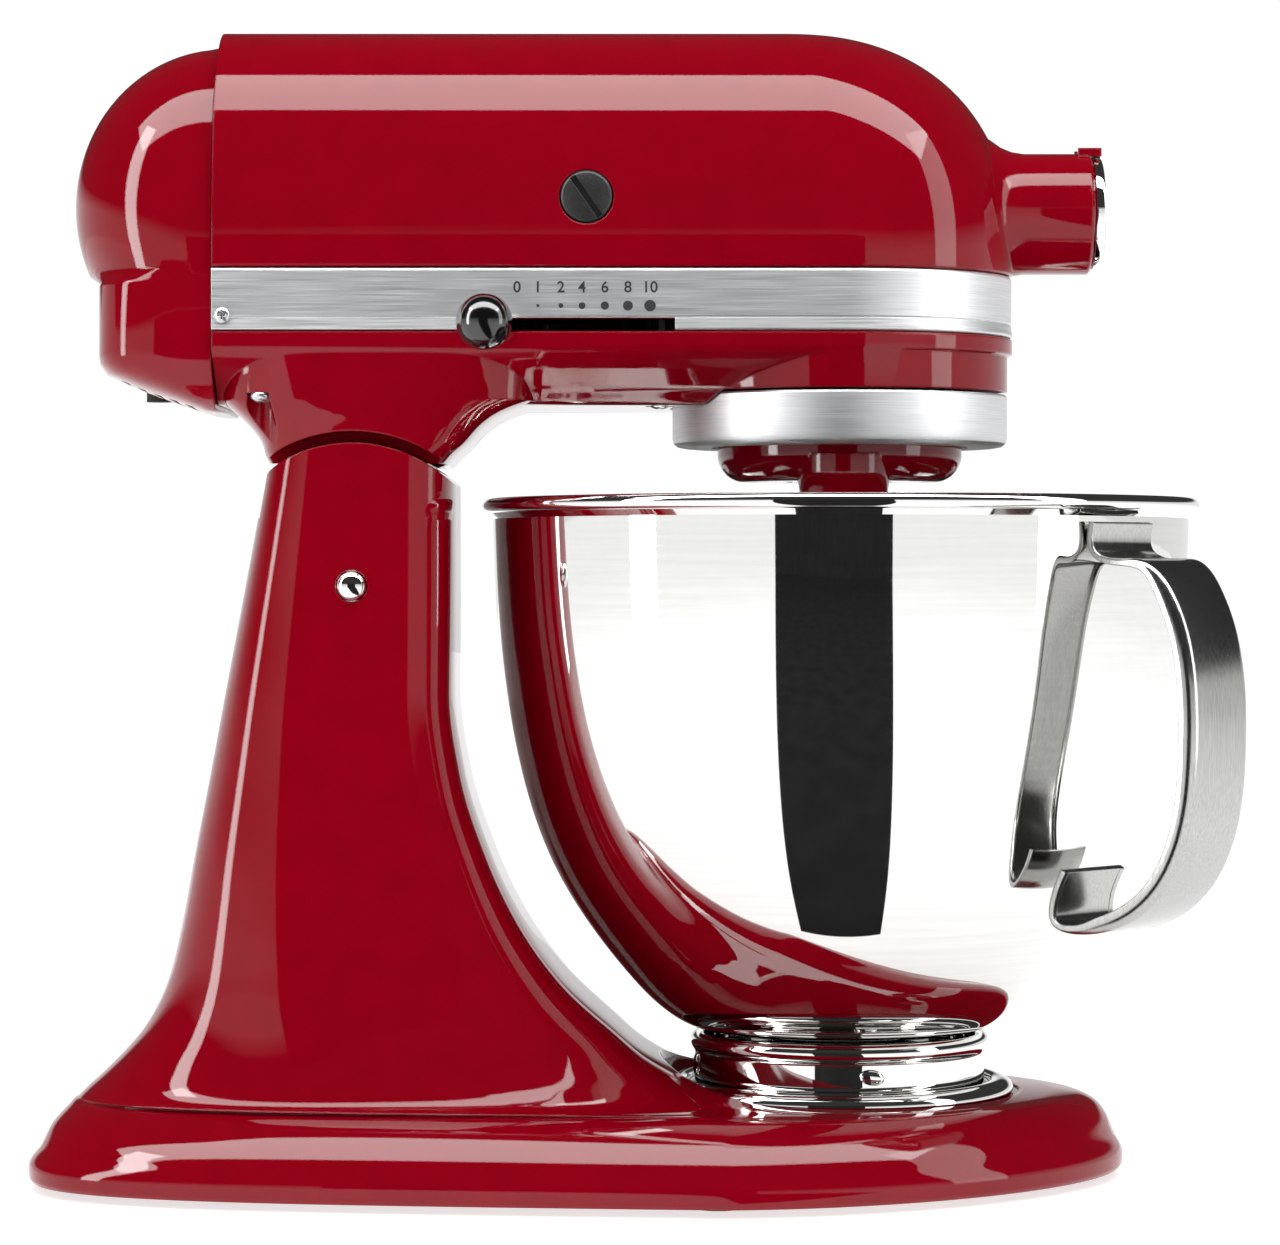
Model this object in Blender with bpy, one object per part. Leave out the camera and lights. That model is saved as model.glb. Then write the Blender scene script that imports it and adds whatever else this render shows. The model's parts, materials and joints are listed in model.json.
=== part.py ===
"""Tilt-head stand mixer, as separate solids in metres.

+X is the front of the machine, +Z is up, and its feet stand on Z = 0. The speed lever and the bowl's handle
are on the -Y side. The head tilts about a cross pin in the top of the pedestal. Inside the head a motor turns
a worm, a worm wheel, a centre gear and a planetary hub, whose beater shaft rolls round a fixed ring gear.
"""

import math

import bmesh
import bpy
import numpy as np
from mathutils import Matrix, Vector
from mathutils.geometry import tessellate_polygon

# Fits
GAP = 0.0003                    # between pieces that touch
RUNNING = 0.0004                # between a shaft and its bore

# Base and pedestal
BASE_REAR = -0.1806
BASE_FRONT = 0.1562
BASE_HALF_WIDTH = 0.0977
BASE_WIDEST_X = 0.029
BASE_BOTTOM = 0.0025
DECK_TOP = 0.0264
BASE_WALL = 0.004
COLUMN_FRONT = -0.0505
COLUMN_REAR = -0.1058
COLUMN_HALF_WIDTH = 0.0462
COLUMN_WEB_TOP = 0.158
COLUMN_WEB = 0.010
FOOT_RADIUS = 0.0095
FOOT_STEM_RADIUS = 0.003
FOOT_BOSS_RADIUS = 0.0115

# Hinge of the head
PIN_X = -0.0805
PIN_Z = 0.1827
PIN_RADIUS = 0.0044
SADDLE_RADIUS = 0.0431
SADDLE_GAP = 0.0034
SADDLE_BAND = 0.036             # half width of the saddle's middle, which runs close over the column
LUG_RADIUS = 0.017
LUG_HALF_WIDTH = 0.032
LUG_SIDE_GAP = 0.002
NECK_LEAN = math.radians(20)
NECK_THICKNESS = 0.016

# Head shell
HEAD_HALF_WIDTH = 0.0525
HEAD_TOP = 0.3533
SPRING_Z = 0.278                # where the arch of the head starts above the band
ARCH_POWER = 2.5
NOSE_X = 0.050                  # where the flat top ends and the nose starts to curve down
NOSE_Z = 0.285
NOSE_LENGTH = 0.071
NOSE_HEIGHT = 0.0686
NOSE_POWER = 2.3                # squareness of the nose from the side
SEAM_X = -0.122                 # between the motor housing and the rear cover
SHELL_WALL = 0.0035
PARTING_Z = 0.268               # between the motor housing and the lower gearcase, behind the band
BAND_TOP = 0.2779
BAND_BOTTOM = 0.2591
BAND_THICKNESS = 0.0013
FLANK_Z = 0.254                 # where the gearcase starts to slope inward
GEARCASE_BOTTOM = 0.2376
KEEL_HALF_WIDTH = 0.034
COVER_BACK_X = -0.1685
COVER_TOP = 0.3485
COVER_BOTTOM = 0.236
COVER_CENTRE_Z = 0.299
COVER_STEP = 0.0025             # how much narrower the cover is than the housing
COVER_WALL = 0.0025
CHIN_BACK_X = -0.1592
CHIN_TOP = 0.2745
CHIN_BOTTOM = 0.247
GLAND_RADIUS = 0.0042
GLAND_BORE = 0.0025
GLAND_LENGTH = 0.010

# Attachment hub
HUB_Z = 0.298
HUB_WALL = 0.0062
HUB_FRONT = 0.1455
HUB_BORE = 0.0125
HUB_CAP_THICKNESS = 0.0036
HUB_CAP_INSET = 0.0012          # how much smaller the cap is than the hub, all round
THUMB_SCREW_X = 0.131
THUMB_SCREW_RADIUS = 0.0032
THUMB_KNOB_RADIUS = 0.011

# Bowl, its plate and its handle
BOWL_X = 0.068                  # vertical axis shared by the bowl and the planetary hub
BOWL_RADIUS = 0.1077            # wall below the rim
BOWL_RIM_Z = 0.2073
BOWL_BEAD = 0.0023
BOWL_WALL = 0.001
BOWL_BOTTOM = 0.0445
BOWL_FOOT_RADIUS = 0.045
BOWL_FOOT_WALL = 0.0014
PLATE_RADIUS = 0.054
PLATE_HEIGHT = 0.0042
PLATE_FLOOR = 0.0016
HANDLE_AZIMUTH = math.radians(-43.5)
HANDLE_WIDTH = 0.029
HANDLE_REACH = 0.145            # from the bowl's axis to the outside of the grip
HANDLE_SHEET = 0.0018
HANDLE_LIP = 0.0045

# Drive train
GEAR_MODULE = 0.002
CENTRE_TEETH = 44
TRANSFER_TEETH = 14
RING_TEETH = 44
PINION_TEETH = 17
WHEEL_TEETH = 18
BEVEL_TEETH = 16
BEVEL_MODULE = 0.00175
WORM_RADIUS = 0.006
GEAR_WIDTH = 0.008
MOTOR_Z = 0.299
BRUSH_X = -0.010
FRONT_BEARING_X = 0.0385
REAR_BEARING_X = -0.1195
BEARING_RADIUS = 0.0095
CENTRE_SHAFT_RADIUS = 0.005
BEATER_SHAFT_RADIUS = 0.0055
ROTOR_SHAFT_RADIUS = 0.004
WHEEL_SHAFT_RADIUS = 0.004
STATOR_RADIUS = 0.0335
ROTOR_RADIUS = 0.021
PLANET_RADIUS = 0.0379
PLANET_BOTTOM = 0.2148
DRIP_RING_RADIUS = 0.0519
DRIP_RING_BOTTOM = 0.2254
BEATER_HALF_WIDTH = 0.056
BEATER_THICKNESS = 0.008

# Controls
LEVER_PIVOT_X = -0.013
LEVER_KNOB_GAP = 0.0059         # from the band to the knob at either end of its swing
LEVER_SWING = math.radians(22)
LEVER_ARM = 0.0024
LEVER_Z = 0.2608
KNOB_RADIUS = 0.0084
BRUSH_CAP_RADIUS = 0.0078
LOCK_X = -0.066
LOCK_Z = 0.196
LOCK_TRAVEL = 0.012
LOCK_ROD_RADIUS = 0.0028

HUB_RADIUS = HUB_BORE + HUB_WALL
HUB_CAP_RADIUS = HUB_RADIUS - HUB_CAP_INSET
PLANET_OFFSET = GEAR_MODULE * (RING_TEETH - PINION_TEETH) / 2
CENTRE_DISTANCE = GEAR_MODULE * (CENTRE_TEETH + TRANSFER_TEETH) / 2
WHEEL_RADIUS = GEAR_MODULE * WHEEL_TEETH / 2
WHEEL_Y = WHEEL_RADIUS + WORM_RADIUS
WHEEL_X = BOWL_X - math.sqrt(CENTRE_DISTANCE ** 2 - WHEEL_Y ** 2)
BEVEL_RADIUS = BEVEL_MODULE * BEVEL_TEETH / 2
ARCH_HEIGHT = HEAD_TOP - SPRING_Z
LEVER_RADIUS = (HEAD_HALF_WIDTH + LEVER_KNOB_GAP + KNOB_RADIUS) / math.cos(LEVER_SWING)


# Finishes

def finish(name, colour, roughness, metallic=0.0):
    """A Principled material; colour is linear red, green and blue."""
    material = bpy.data.materials.new(name)
    material.use_nodes = True
    shader = material.node_tree.nodes["Principled BSDF"]
    shader.inputs["Base Color"].default_value = (*colour, 1.0)
    shader.inputs["Roughness"].default_value = roughness
    shader.inputs["Metallic"].default_value = metallic
    material.diffuse_color = (*colour, 1.0)
    return material


# Outlines and curves

def smooth_run(stations, steps):
    """The stations with steps - 1 more rows between each pair, on a cubic through all of them."""
    rows = np.array(stations, dtype=float)
    spans = np.linalg.norm(np.diff(rows, axis=0), axis=1)
    chords = np.diff(rows, axis=0) / spans[:, None]
    slopes = np.vstack([chords[:1], chords, chords[-1:]])
    weights = np.concatenate([spans[:1], spans, spans[-1:]])
    tangents = (slopes[:-1] * weights[1:, None] + slopes[1:] * weights[:-1, None])
    tangents /= (weights[1:] + weights[:-1])[:, None]
    run = [rows[0]]
    for index, span in enumerate(spans):
        for step in range(1, steps + 1):
            t = step / steps
            run.append((2 * t ** 3 - 3 * t ** 2 + 1) * rows[index]
                       + (t ** 3 - 2 * t ** 2 + t) * span * tangents[index]
                       + (3 * t ** 2 - 2 * t ** 3) * rows[index + 1]
                       + (t ** 3 - t ** 2) * span * tangents[index + 1])
    return run


def circle(radius, count, centre=(0.0, 0.0)):
    turns = [2 * math.pi * step / count for step in range(count)]
    return [(centre[0] + radius * math.cos(turn), centre[1] + radius * math.sin(turn)) for turn in turns]


def arc(radius, start, end, count, centre=(0.0, 0.0)):
    """Points from angle start to angle end, both included."""
    turns = [start + (end - start) * step / count for step in range(count + 1)]
    return [(centre[0] + radius * math.cos(turn), centre[1] + radius * math.sin(turn)) for turn in turns]


def power_curve(value, power):
    return math.copysign(abs(value) ** (2 / power), value)


def gear_outline(teeth, module, internal=False, phase=0.0):
    """Straight-flanked teeth with wide backlash. A tooth, or an internal gear's gap, is centred on phase."""
    pitch_radius = module * teeth / 2
    tip, root = pitch_radius + 0.75 * module, pitch_radius - 1.1 * module
    tip_half, root_half = 0.11, 0.29
    if internal:
        tip, root = pitch_radius + 1.1 * module, pitch_radius - 0.75 * module
        tip_half, root_half = 0.20, 0.38
    pitch = 2 * math.pi / teeth
    outline = []
    for tooth in range(teeth):
        middle = phase + tooth * pitch
        for radius, share in ((root, -root_half), (tip, -tip_half), (tip, tip_half), (root, root_half)):
            outline.append((radius * math.cos(middle + share * pitch), radius * math.sin(middle + share * pitch)))
    return outline


# Solids

AXES = {
    "X": lambda a, b, along: (along, a, b),
    "Y": lambda a, b, along: (b, along, a),
    "Z": lambda a, b, along: (a, b, along),
}


def placed(bm, matrix):
    bmesh.ops.transform(bm, matrix=matrix, verts=bm.verts)
    return bm


def loft(rings):
    """Bridge rings of equal count and cap the two ends."""
    bm = bmesh.new()
    rows = [[bm.verts.new(point) for point in ring] for ring in rings]
    for low, high in zip(rows, rows[1:]):
        for index in range(len(low)):
            after = (index + 1) % len(low)
            bm.faces.new((low[index], low[after], high[after], high[index]))
    bm.faces.new(rows[0])
    bm.faces.new(rows[-1])
    return bm


def turned(profile, axis="Z", centre=(0.0, 0.0, 0.0), steps=24, closed=False):
    """Revolve (radius, height) points. An open profile starts and ends on the axis."""
    bm = bmesh.new()
    rows = []
    for radius, height in profile:
        points = circle(radius, steps) if radius > 1e-7 else [(0.0, 0.0)]
        rows.append([bm.verts.new(Vector(AXES[axis](a, b, height)) + Vector(centre)) for a, b in points])
    pairs = list(zip(rows, rows[1:] + rows[:1])) if closed else list(zip(rows, rows[1:]))
    for low, high in pairs:
        for index in range(steps):
            after = (index + 1) % steps
            corners = [low[index % len(low)], low[after % len(low)], high[after % len(high)],
                       high[index % len(high)]]
            bm.faces.new(list(dict.fromkeys(corners)))
    return bm


def rod(radius, start, end, axis="Z", centre=(0.0, 0.0, 0.0), steps=24, bore=0.0):
    if bore:
        profile = [(bore, start), (radius, start), (radius, end), (bore, end)]
        return turned(profile, axis, centre, steps, closed=True)
    return turned([(0, start), (radius, start), (radius, end), (0, end)], axis, centre, steps)


def prism(outline, start, end, holes=(), axis="Z", centre=(0.0, 0.0, 0.0), shrink=1.0):
    """Extrude an outline with holes along an axis. The far end may be shrunk towards the axis."""
    bm = bmesh.new()
    loops = [list(outline), *[list(hole) for hole in holes]]
    ends = []
    for along, scale in ((start, 1.0), (end, shrink)):
        ends.append([[bm.verts.new(Vector(AXES[axis](a * scale, b * scale, along)) + Vector(centre))
                      for a, b in loop] for loop in loops])
    for triangle in tessellate_polygon([[Vector((a, b, 0)) for a, b in loop] for loop in loops]):
        for level in ends:
            corners = [vert for loop in level for vert in loop]
            bm.faces.new([corners[index] for index in triangle])
    for low, high in zip(*ends):
        for index in range(len(low)):
            after = (index + 1) % len(low)
            bm.faces.new((low[index], low[after], high[after], high[index]))
    return bm


def block(low, high):
    bm = bmesh.new()
    bmesh.ops.create_cube(bm, size=1.0)
    size = Vector(high) - Vector(low)
    middle = (Vector(high) + Vector(low)) / 2
    return placed(bm, Matrix.Translation(middle) @ Matrix.Diagonal((*size, 1.0)))


def solid(name, bm, material, crease=32):
    """A named object from a bmesh: faces outward, smooth except across sharp edges."""
    bmesh.ops.recalc_face_normals(bm, faces=bm.faces)
    mesh = bpy.data.meshes.new(name)
    bm.to_mesh(mesh)
    bm.free()
    mesh.shade_smooth()
    mesh.set_sharp_from_angle(angle=math.radians(crease))
    mesh.materials.append(material)
    piece = bpy.data.objects.new(name, mesh)
    bpy.context.scene.collection.objects.link(piece)
    return piece


def boolean(piece, operation, *shapes):
    """Cut shapes from a piece, or join them to it, with hidden helpers."""
    for shape in shapes:
        name = f"{piece.name}.{operation.lower()}.{len(piece.modifiers)}"
        is_object = isinstance(shape, bpy.types.Object)
        helper = shape if is_object else solid(name, shape, piece.data.materials[0])
        helper.hide_render = True
        helper.display_type = "WIRE"
        helper.hide_set(True)
        modifier = piece.modifiers.new(helper.name, "BOOLEAN")
        modifier.operation = operation
        modifier.solver = "EXACT"
        modifier.object = helper


def cut(piece, *shapes):
    boolean(piece, "DIFFERENCE", *shapes)


def join(piece, *shapes):
    boolean(piece, "UNION", *shapes)


def pivot(name, place, parent=None):
    """An empty on a joint's axis, which the moving pieces hang from."""
    empty = bpy.data.objects.new(name, None)
    empty.empty_display_size = 0.01
    bpy.context.scene.collection.objects.link(empty)
    empty.location = place
    bpy.context.view_layer.update()
    if parent:
        hang(parent, empty)
    return empty


def hang(parent, *pieces):
    for piece in pieces:
        piece.parent = parent
        piece.matrix_parent_inverse = parent.matrix_world.inverted()
    bpy.context.view_layer.update()


# Outlines of the castings

def base_stations():
    """Height, rear, front, widest x, half width, taper to the rear, front power and rear power of each level."""
    rear, front, wide, middle = BASE_REAR, BASE_FRONT, BASE_HALF_WIDTH, BASE_WIDEST_X
    deck, low = DECK_TOP, BASE_BOTTOM
    column, back, half = COLUMN_FRONT, COLUMN_REAR, COLUMN_HALF_WIDTH
    return [
        (low, rear + 0.0008, front - 0.0008, middle, wide - 0.0007, 0.19, 1.75, 4.6),
        (low + 0.004, rear, front, middle, wide, 0.19, 1.75, 4.6),
        (low + 0.0105, rear + 0.0038, front - 0.0028, middle, wide - 0.0021, 0.19, 1.75, 4.5),
        (deck - 0.0074, rear + 0.0066, front - 0.0052, middle, wide - 0.0067, 0.19, 1.78, 4.4),
        (deck - 0.0029, rear + 0.0106, front - 0.0092, middle, wide - 0.0122, 0.18, 1.8, 4.2),
        (deck - 0.0006, rear + 0.0128, front - 0.0148, middle, wide - 0.0177, 0.17, 1.85, 4.1),
        (deck - 0.0001, rear + 0.0136, front - 0.0222, middle - 0.002, wide - 0.0222, 0.16, 1.9, 4.0),
        (deck + 0.0006, rear + 0.0144, column + 0.1145, middle - 0.049, half + 0.0263, 0.10, 2.2, 3.6),
        (deck + 0.0026, rear + 0.0164, column + 0.0925, middle - 0.064, half + 0.0226, 0.08, 2.6, 3.4),
        (deck + 0.0066, rear + 0.0208, column + 0.0725, middle - 0.077, half + 0.0193, 0.06, 3.0, 3.2),
        (deck + 0.0126, rear + 0.0268, column + 0.0600, middle - 0.087, half + 0.0168, 0.04, 3.4, 3.1),
        (deck + 0.0216, back - 0.0405, column + 0.0490, middle - 0.095, half + 0.0145, 0.02, 3.8, 3.2),
        (deck + 0.0356, back - 0.0335, column + 0.0340, middle - 0.101, half + 0.0122, 0.0, 4.2, 3.4),
        (deck + 0.0536, back - 0.0289, column + 0.0210, middle - 0.105, half + 0.0100, 0.0, 4.6, 3.6),
        (deck + 0.0736, back - 0.0251, column + 0.0113, middle - 0.107, half + 0.0078, 0.0, 5.0, 3.8),
        (deck + 0.0986, back - 0.0201, column + 0.0033, middle - 0.109, half + 0.0054, 0.0, 5.0, 4.0),
        (deck + 0.1236, back - 0.0153, column - 0.0001, middle - 0.110, half + 0.0035, 0.0, 5.0, 4.2),
        (PIN_Z, back - 0.0090, column, middle - 0.110, half + 0.0016, 0.0, 5.0, 4.4),
        (PIN_Z + SADDLE_RADIUS + 0.005, back, column, middle - 0.110, half, 0.0, 5.0, 4.6),
    ]


def base_ring(station, inset=0.0, count=32):
    height, rear, front, middle, wide, taper, front_power, rear_power = station
    ring = []
    for along, across in circle(1.0, count):
        power = front_power if along >= 0 else rear_power
        reach = (front - middle if along >= 0 else middle - rear) - inset
        x = middle + reach * power_curve(along, power)
        narrowing = 1 + taper * min(0.0, x - middle) / (middle - rear)
        ring.append((x, (wide - inset) * narrowing * power_curve(across, power), height))
    return ring


def head_ring(height, half_width, front, middle, rear, arc_steps=16):
    """Plan outline of the head: a flat rear end, straight sides and a half-elliptical front."""
    ring = [(rear, -half_width, height)]
    for step in range(arc_steps + 1):
        turn = math.pi * (step / arc_steps - 0.5)
        ring.append((middle + (front - middle) * math.cos(turn), half_width * math.sin(turn), height))
    ring.append((rear, half_width, height))
    return ring


def arch_rings(shrink, rear, levels=9):
    """Levels of the arched upper head, from the spring line to the top."""
    rings = []
    for level in range(levels + 1):
        rise = math.radians(87) * level / levels
        height = SPRING_Z + (ARCH_HEIGHT - shrink) * math.sin(rise) ** (2 / ARCH_POWER)
        half_width = (HEAD_HALF_WIDTH - shrink) * math.cos(rise) ** (2 / ARCH_POWER)
        lift = max(0.0, height - NOSE_Z) / (NOSE_HEIGHT - shrink)
        front = NOSE_X + (NOSE_LENGTH - shrink) * max(0.0, 1 - lift ** NOSE_POWER) ** (1 / NOSE_POWER) + 0.0005
        middle = BOWL_X + (NOSE_X - BOWL_X) * math.sin(rise) ** 2
        rings.append(head_ring(height, half_width, max(front, middle + 0.002), middle, rear))
    return rings


def belt_ring(height, inset, rear=SEAM_X):
    """Level of the straight-sided part of the head."""
    return head_ring(height, HEAD_HALF_WIDTH - inset, NOSE_X + NOSE_LENGTH - inset + 0.0005, BOWL_X, rear)


def cover_stations(inset):
    """Height, back and half width of each level of the rear cover."""
    stations = []
    half = HEAD_HALF_WIDTH - COVER_STEP - inset
    chin_back = CHIN_BACK_X + inset
    low = COVER_BOTTOM + inset
    stations.append((low, SEAM_X - 0.006, half - 0.014, 3.0))
    stations.append(((low + CHIN_BOTTOM) / 2, (SEAM_X + chin_back) / 2 - 0.004, half - 0.006, 3.6))
    stations.append((CHIN_BOTTOM + inset * 0.5, chin_back + 0.0022, half - 0.0015, 4.2))
    stations.append((CHIN_BOTTOM + 0.005, chin_back, half, 4.4))
    stations.append((CHIN_TOP, chin_back, half, 4.4))
    dome = COVER_TOP - COVER_CENTRE_Z - inset
    bulge = SEAM_X - COVER_BACK_X - inset
    first = math.asin((CHIN_TOP + 0.0035 - COVER_CENTRE_Z) / dome)
    for level in range(11):
        rise = first + (math.radians(86) - first) * level / 10
        height = COVER_CENTRE_Z + dome * math.sin(rise)
        reach = max(0.0, (height - SPRING_Z) / (COVER_TOP - inset - SPRING_Z))
        width = half * max(0.05, 1 - reach ** ARCH_POWER) ** (1 / ARCH_POWER)
        stations.append((height, SEAM_X - bulge * math.cos(rise), width, 2.3))
    return stations


def cover_ring(station, arc_steps=14, overrun=0.0):
    """Plan outline of the rear cover: a flat front, run on by overrun for a cutter, and a rounded back."""
    height, back, half_width, power = station
    front = SEAM_X - GAP
    ring = []
    for step in range(arc_steps + 1):
        turn = math.pi * (0.5 + step / arc_steps)
        ring.append((front + (front - back) * power_curve(math.cos(turn), power),
                     half_width * power_curve(math.sin(turn), power), height))
    if overrun:
        ring = [(front + overrun, half_width, height), *ring, (front + overrun, -half_width, height)]
    return ring


# Base body

def make_base():
    enamel = finish("red_enamel", (0.42, 0.002, 0.008), 0.12)
    rubber = finish("foot_rubber", (0.03, 0.03, 0.03), 0.8)
    chrome = finish("polished_steel", (0.8, 0.8, 0.8), 0.08, 1.0)
    zinc = finish("zinc_plate", (0.55, 0.55, 0.55), 0.35, 1.0)

    casting = solid("base_casting", loft([base_ring(row) for row in base_stations()]), enamel)
    hollow = []
    for row in base_stations()[::2]:
        if row[0] - BASE_WALL < COLUMN_WEB_TOP - COLUMN_WEB - 0.006:
            hollow.append(base_ring((row[0] - BASE_WALL, *row[1:]), BASE_WALL, 22))
    last = base_stations()[-3]
    hollow.append(base_ring((COLUMN_WEB_TOP - COLUMN_WEB, *last[1:]), BASE_WALL + 0.004, 22))
    mouth = base_ring((-0.01, *base_stations()[0][1:]), BASE_WALL, 22)
    hollow = solid("base_hollow", loft([mouth, *hollow]), enamel)
    cut(hollow, rod(PLATE_RADIUS + 0.007, DECK_TOP - 0.0047, DECK_TOP + 0.020, centre=(BOWL_X, 0, 0), steps=32))
    cut(casting, hollow)

    feet = [(BASE_REAR + 0.036, -0.042), (BASE_REAR + 0.036, 0.042), (BASE_WIDEST_X, BASE_HALF_WIDTH - 0.025),
            (BASE_WIDEST_X, 0.025 - BASE_HALF_WIDTH), (BASE_FRONT - 0.024, 0.0)]
    for x, y in feet:
        join(casting, rod(FOOT_BOSS_RADIUS, BASE_BOTTOM + 0.0005, DECK_TOP - 0.0055, centre=(x, y, 0), steps=12))
    for number, (x, y) in enumerate(feet, 1):
        top = BASE_BOTTOM + 0.0005 - GAP
        stem = top + 0.008
        cut(casting, rod(FOOT_STEM_RADIUS + GAP, -0.001, stem + GAP, centre=(x, y, 0), steps=10))
        profile = [(0, 0), (FOOT_RADIUS - 0.001, 0), (FOOT_RADIUS, 0.001), (FOOT_RADIUS, top),
                   (FOOT_STEM_RADIUS, top), (FOOT_STEM_RADIUS, stem), (0, stem)]
        solid(f"foot_{number}", turned(profile, centre=(x, y, 0), steps=14), rubber)

    # The top of the column is round about the hinge pin, and the head's lug swings in a slot behind it.
    reach = SADDLE_RADIUS + 0.02
    rim = arc(SADDLE_RADIUS, math.radians(150), math.radians(30), 15, (PIN_X, PIN_Z))
    sky = [*rim, (rim[-1][0] + reach, rim[-1][1]), (rim[-1][0] + reach, PIN_Z + reach),
           (rim[0][0] - reach, PIN_Z + reach), (rim[0][0] - reach, rim[0][1])]
    swung = [(z, x) for x, z in sky]
    cut(casting, prism(swung, -0.08, 0.08, axis="Y"))
    slot_half = LUG_HALF_WIDTH + LUG_SIDE_GAP
    slot_rear = COLUMN_REAR + 0.0025
    slot_front = COLUMN_FRONT - 0.0045
    cut(casting, block((slot_rear, -slot_half, COLUMN_WEB_TOP), (slot_front, slot_half, PIN_Z + 0.06)))
    notch_half = slot_half - 0.0007
    cut(casting, block((slot_rear - 0.02, -notch_half, PIN_Z + SADDLE_RADIUS - 0.0225),
                       (PIN_X - 0.0013, notch_half, PIN_Z + 0.0587)))

    pin_half = COLUMN_HALF_WIDTH + 0.0034
    cut(casting, rod(PIN_RADIUS + GAP, -0.08, 0.08, "Y", (PIN_X, 0, PIN_Z)))
    dome = PIN_RADIUS * 0.4
    profile = [(0, -pin_half - dome), (PIN_RADIUS * 0.7, -pin_half - dome * 0.55), (PIN_RADIUS, -pin_half),
               (PIN_RADIUS, pin_half), (PIN_RADIUS * 0.7, pin_half + dome * 0.55), (0, pin_half + dome)]
    solid("hinge_pin", turned(profile, "Y", (PIN_X, 0, PIN_Z)), chrome)

    rest_x = PIN_X + 0.0125
    rest_top = PIN_Z - 0.0147 - GAP
    cut(casting, rod(0.003 + GAP, COLUMN_WEB_TOP - COLUMN_WEB - 0.01, COLUMN_WEB_TOP + 0.01,
                     centre=(rest_x, 0, 0), steps=16))
    profile = [(0, COLUMN_WEB_TOP - COLUMN_WEB - 0.004), (0.003, COLUMN_WEB_TOP - COLUMN_WEB - 0.004),
               (0.003, rest_top - 0.004), (0.005, rest_top - 0.004), (0.005, rest_top - 0.0006),
               (0.0044, rest_top), (0, rest_top)]
    solid("head_height_screw", turned(profile, centre=(rest_x, 0, 0), steps=16), zinc)

    # Bowl plate in a flat seat on the deck, held by three screws.
    cut(casting, rod(PLATE_RADIUS + 0.002, DECK_TOP - 0.0005, DECK_TOP + 0.012, centre=(BOWL_X, 0, 0), steps=40))
    seat = DECK_TOP - 0.0005 + GAP
    floor, top = seat + PLATE_FLOOR, seat + PLATE_HEIGHT
    recess = BOWL_FOOT_RADIUS + 0.0022
    profile = [(0, seat), (PLATE_RADIUS, seat), (PLATE_RADIUS, top - 0.0025), (PLATE_RADIUS - 0.0022, top - 0.0005),
               (PLATE_RADIUS - 0.004, top), (recess, top), (recess, floor), (0, floor)]
    plate = solid("bowl_plate", turned(profile, centre=(BOWL_X, 0, 0), steps=32), chrome)
    for number in range(3):
        turn = 2 * math.pi * number / 3 + 0.5
        x, y = BOWL_X + 0.030 * math.cos(turn), 0.030 * math.sin(turn)
        bore = rod(0.0022 + GAP, DECK_TOP - 0.02, floor + 0.01, centre=(x, y, 0), steps=12)
        cut(casting, bore.copy())
        cut(plate, bore)
        profile = [(0, DECK_TOP - 0.012), (0.0022, DECK_TOP - 0.012), (0.0022, floor + GAP),
                   (0.0042, floor + GAP), (0.0038, floor + 0.002), (0, floor + 0.0024)]
        solid(f"plate_screw_{number + 1}", turned(profile, centre=(x, y, 0), steps=10), zinc)

    # Slot for the locking rod in the far cheek of the column.
    play = LOCK_ROD_RADIUS + RUNNING
    cut(casting, block((LOCK_X - LOCK_TRAVEL - play, LUG_HALF_WIDTH - 0.002, LOCK_Z - play),
                       (LOCK_X + play, 0.08, LOCK_Z + play)))
    return enamel, chrome, zinc


# Head body

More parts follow.
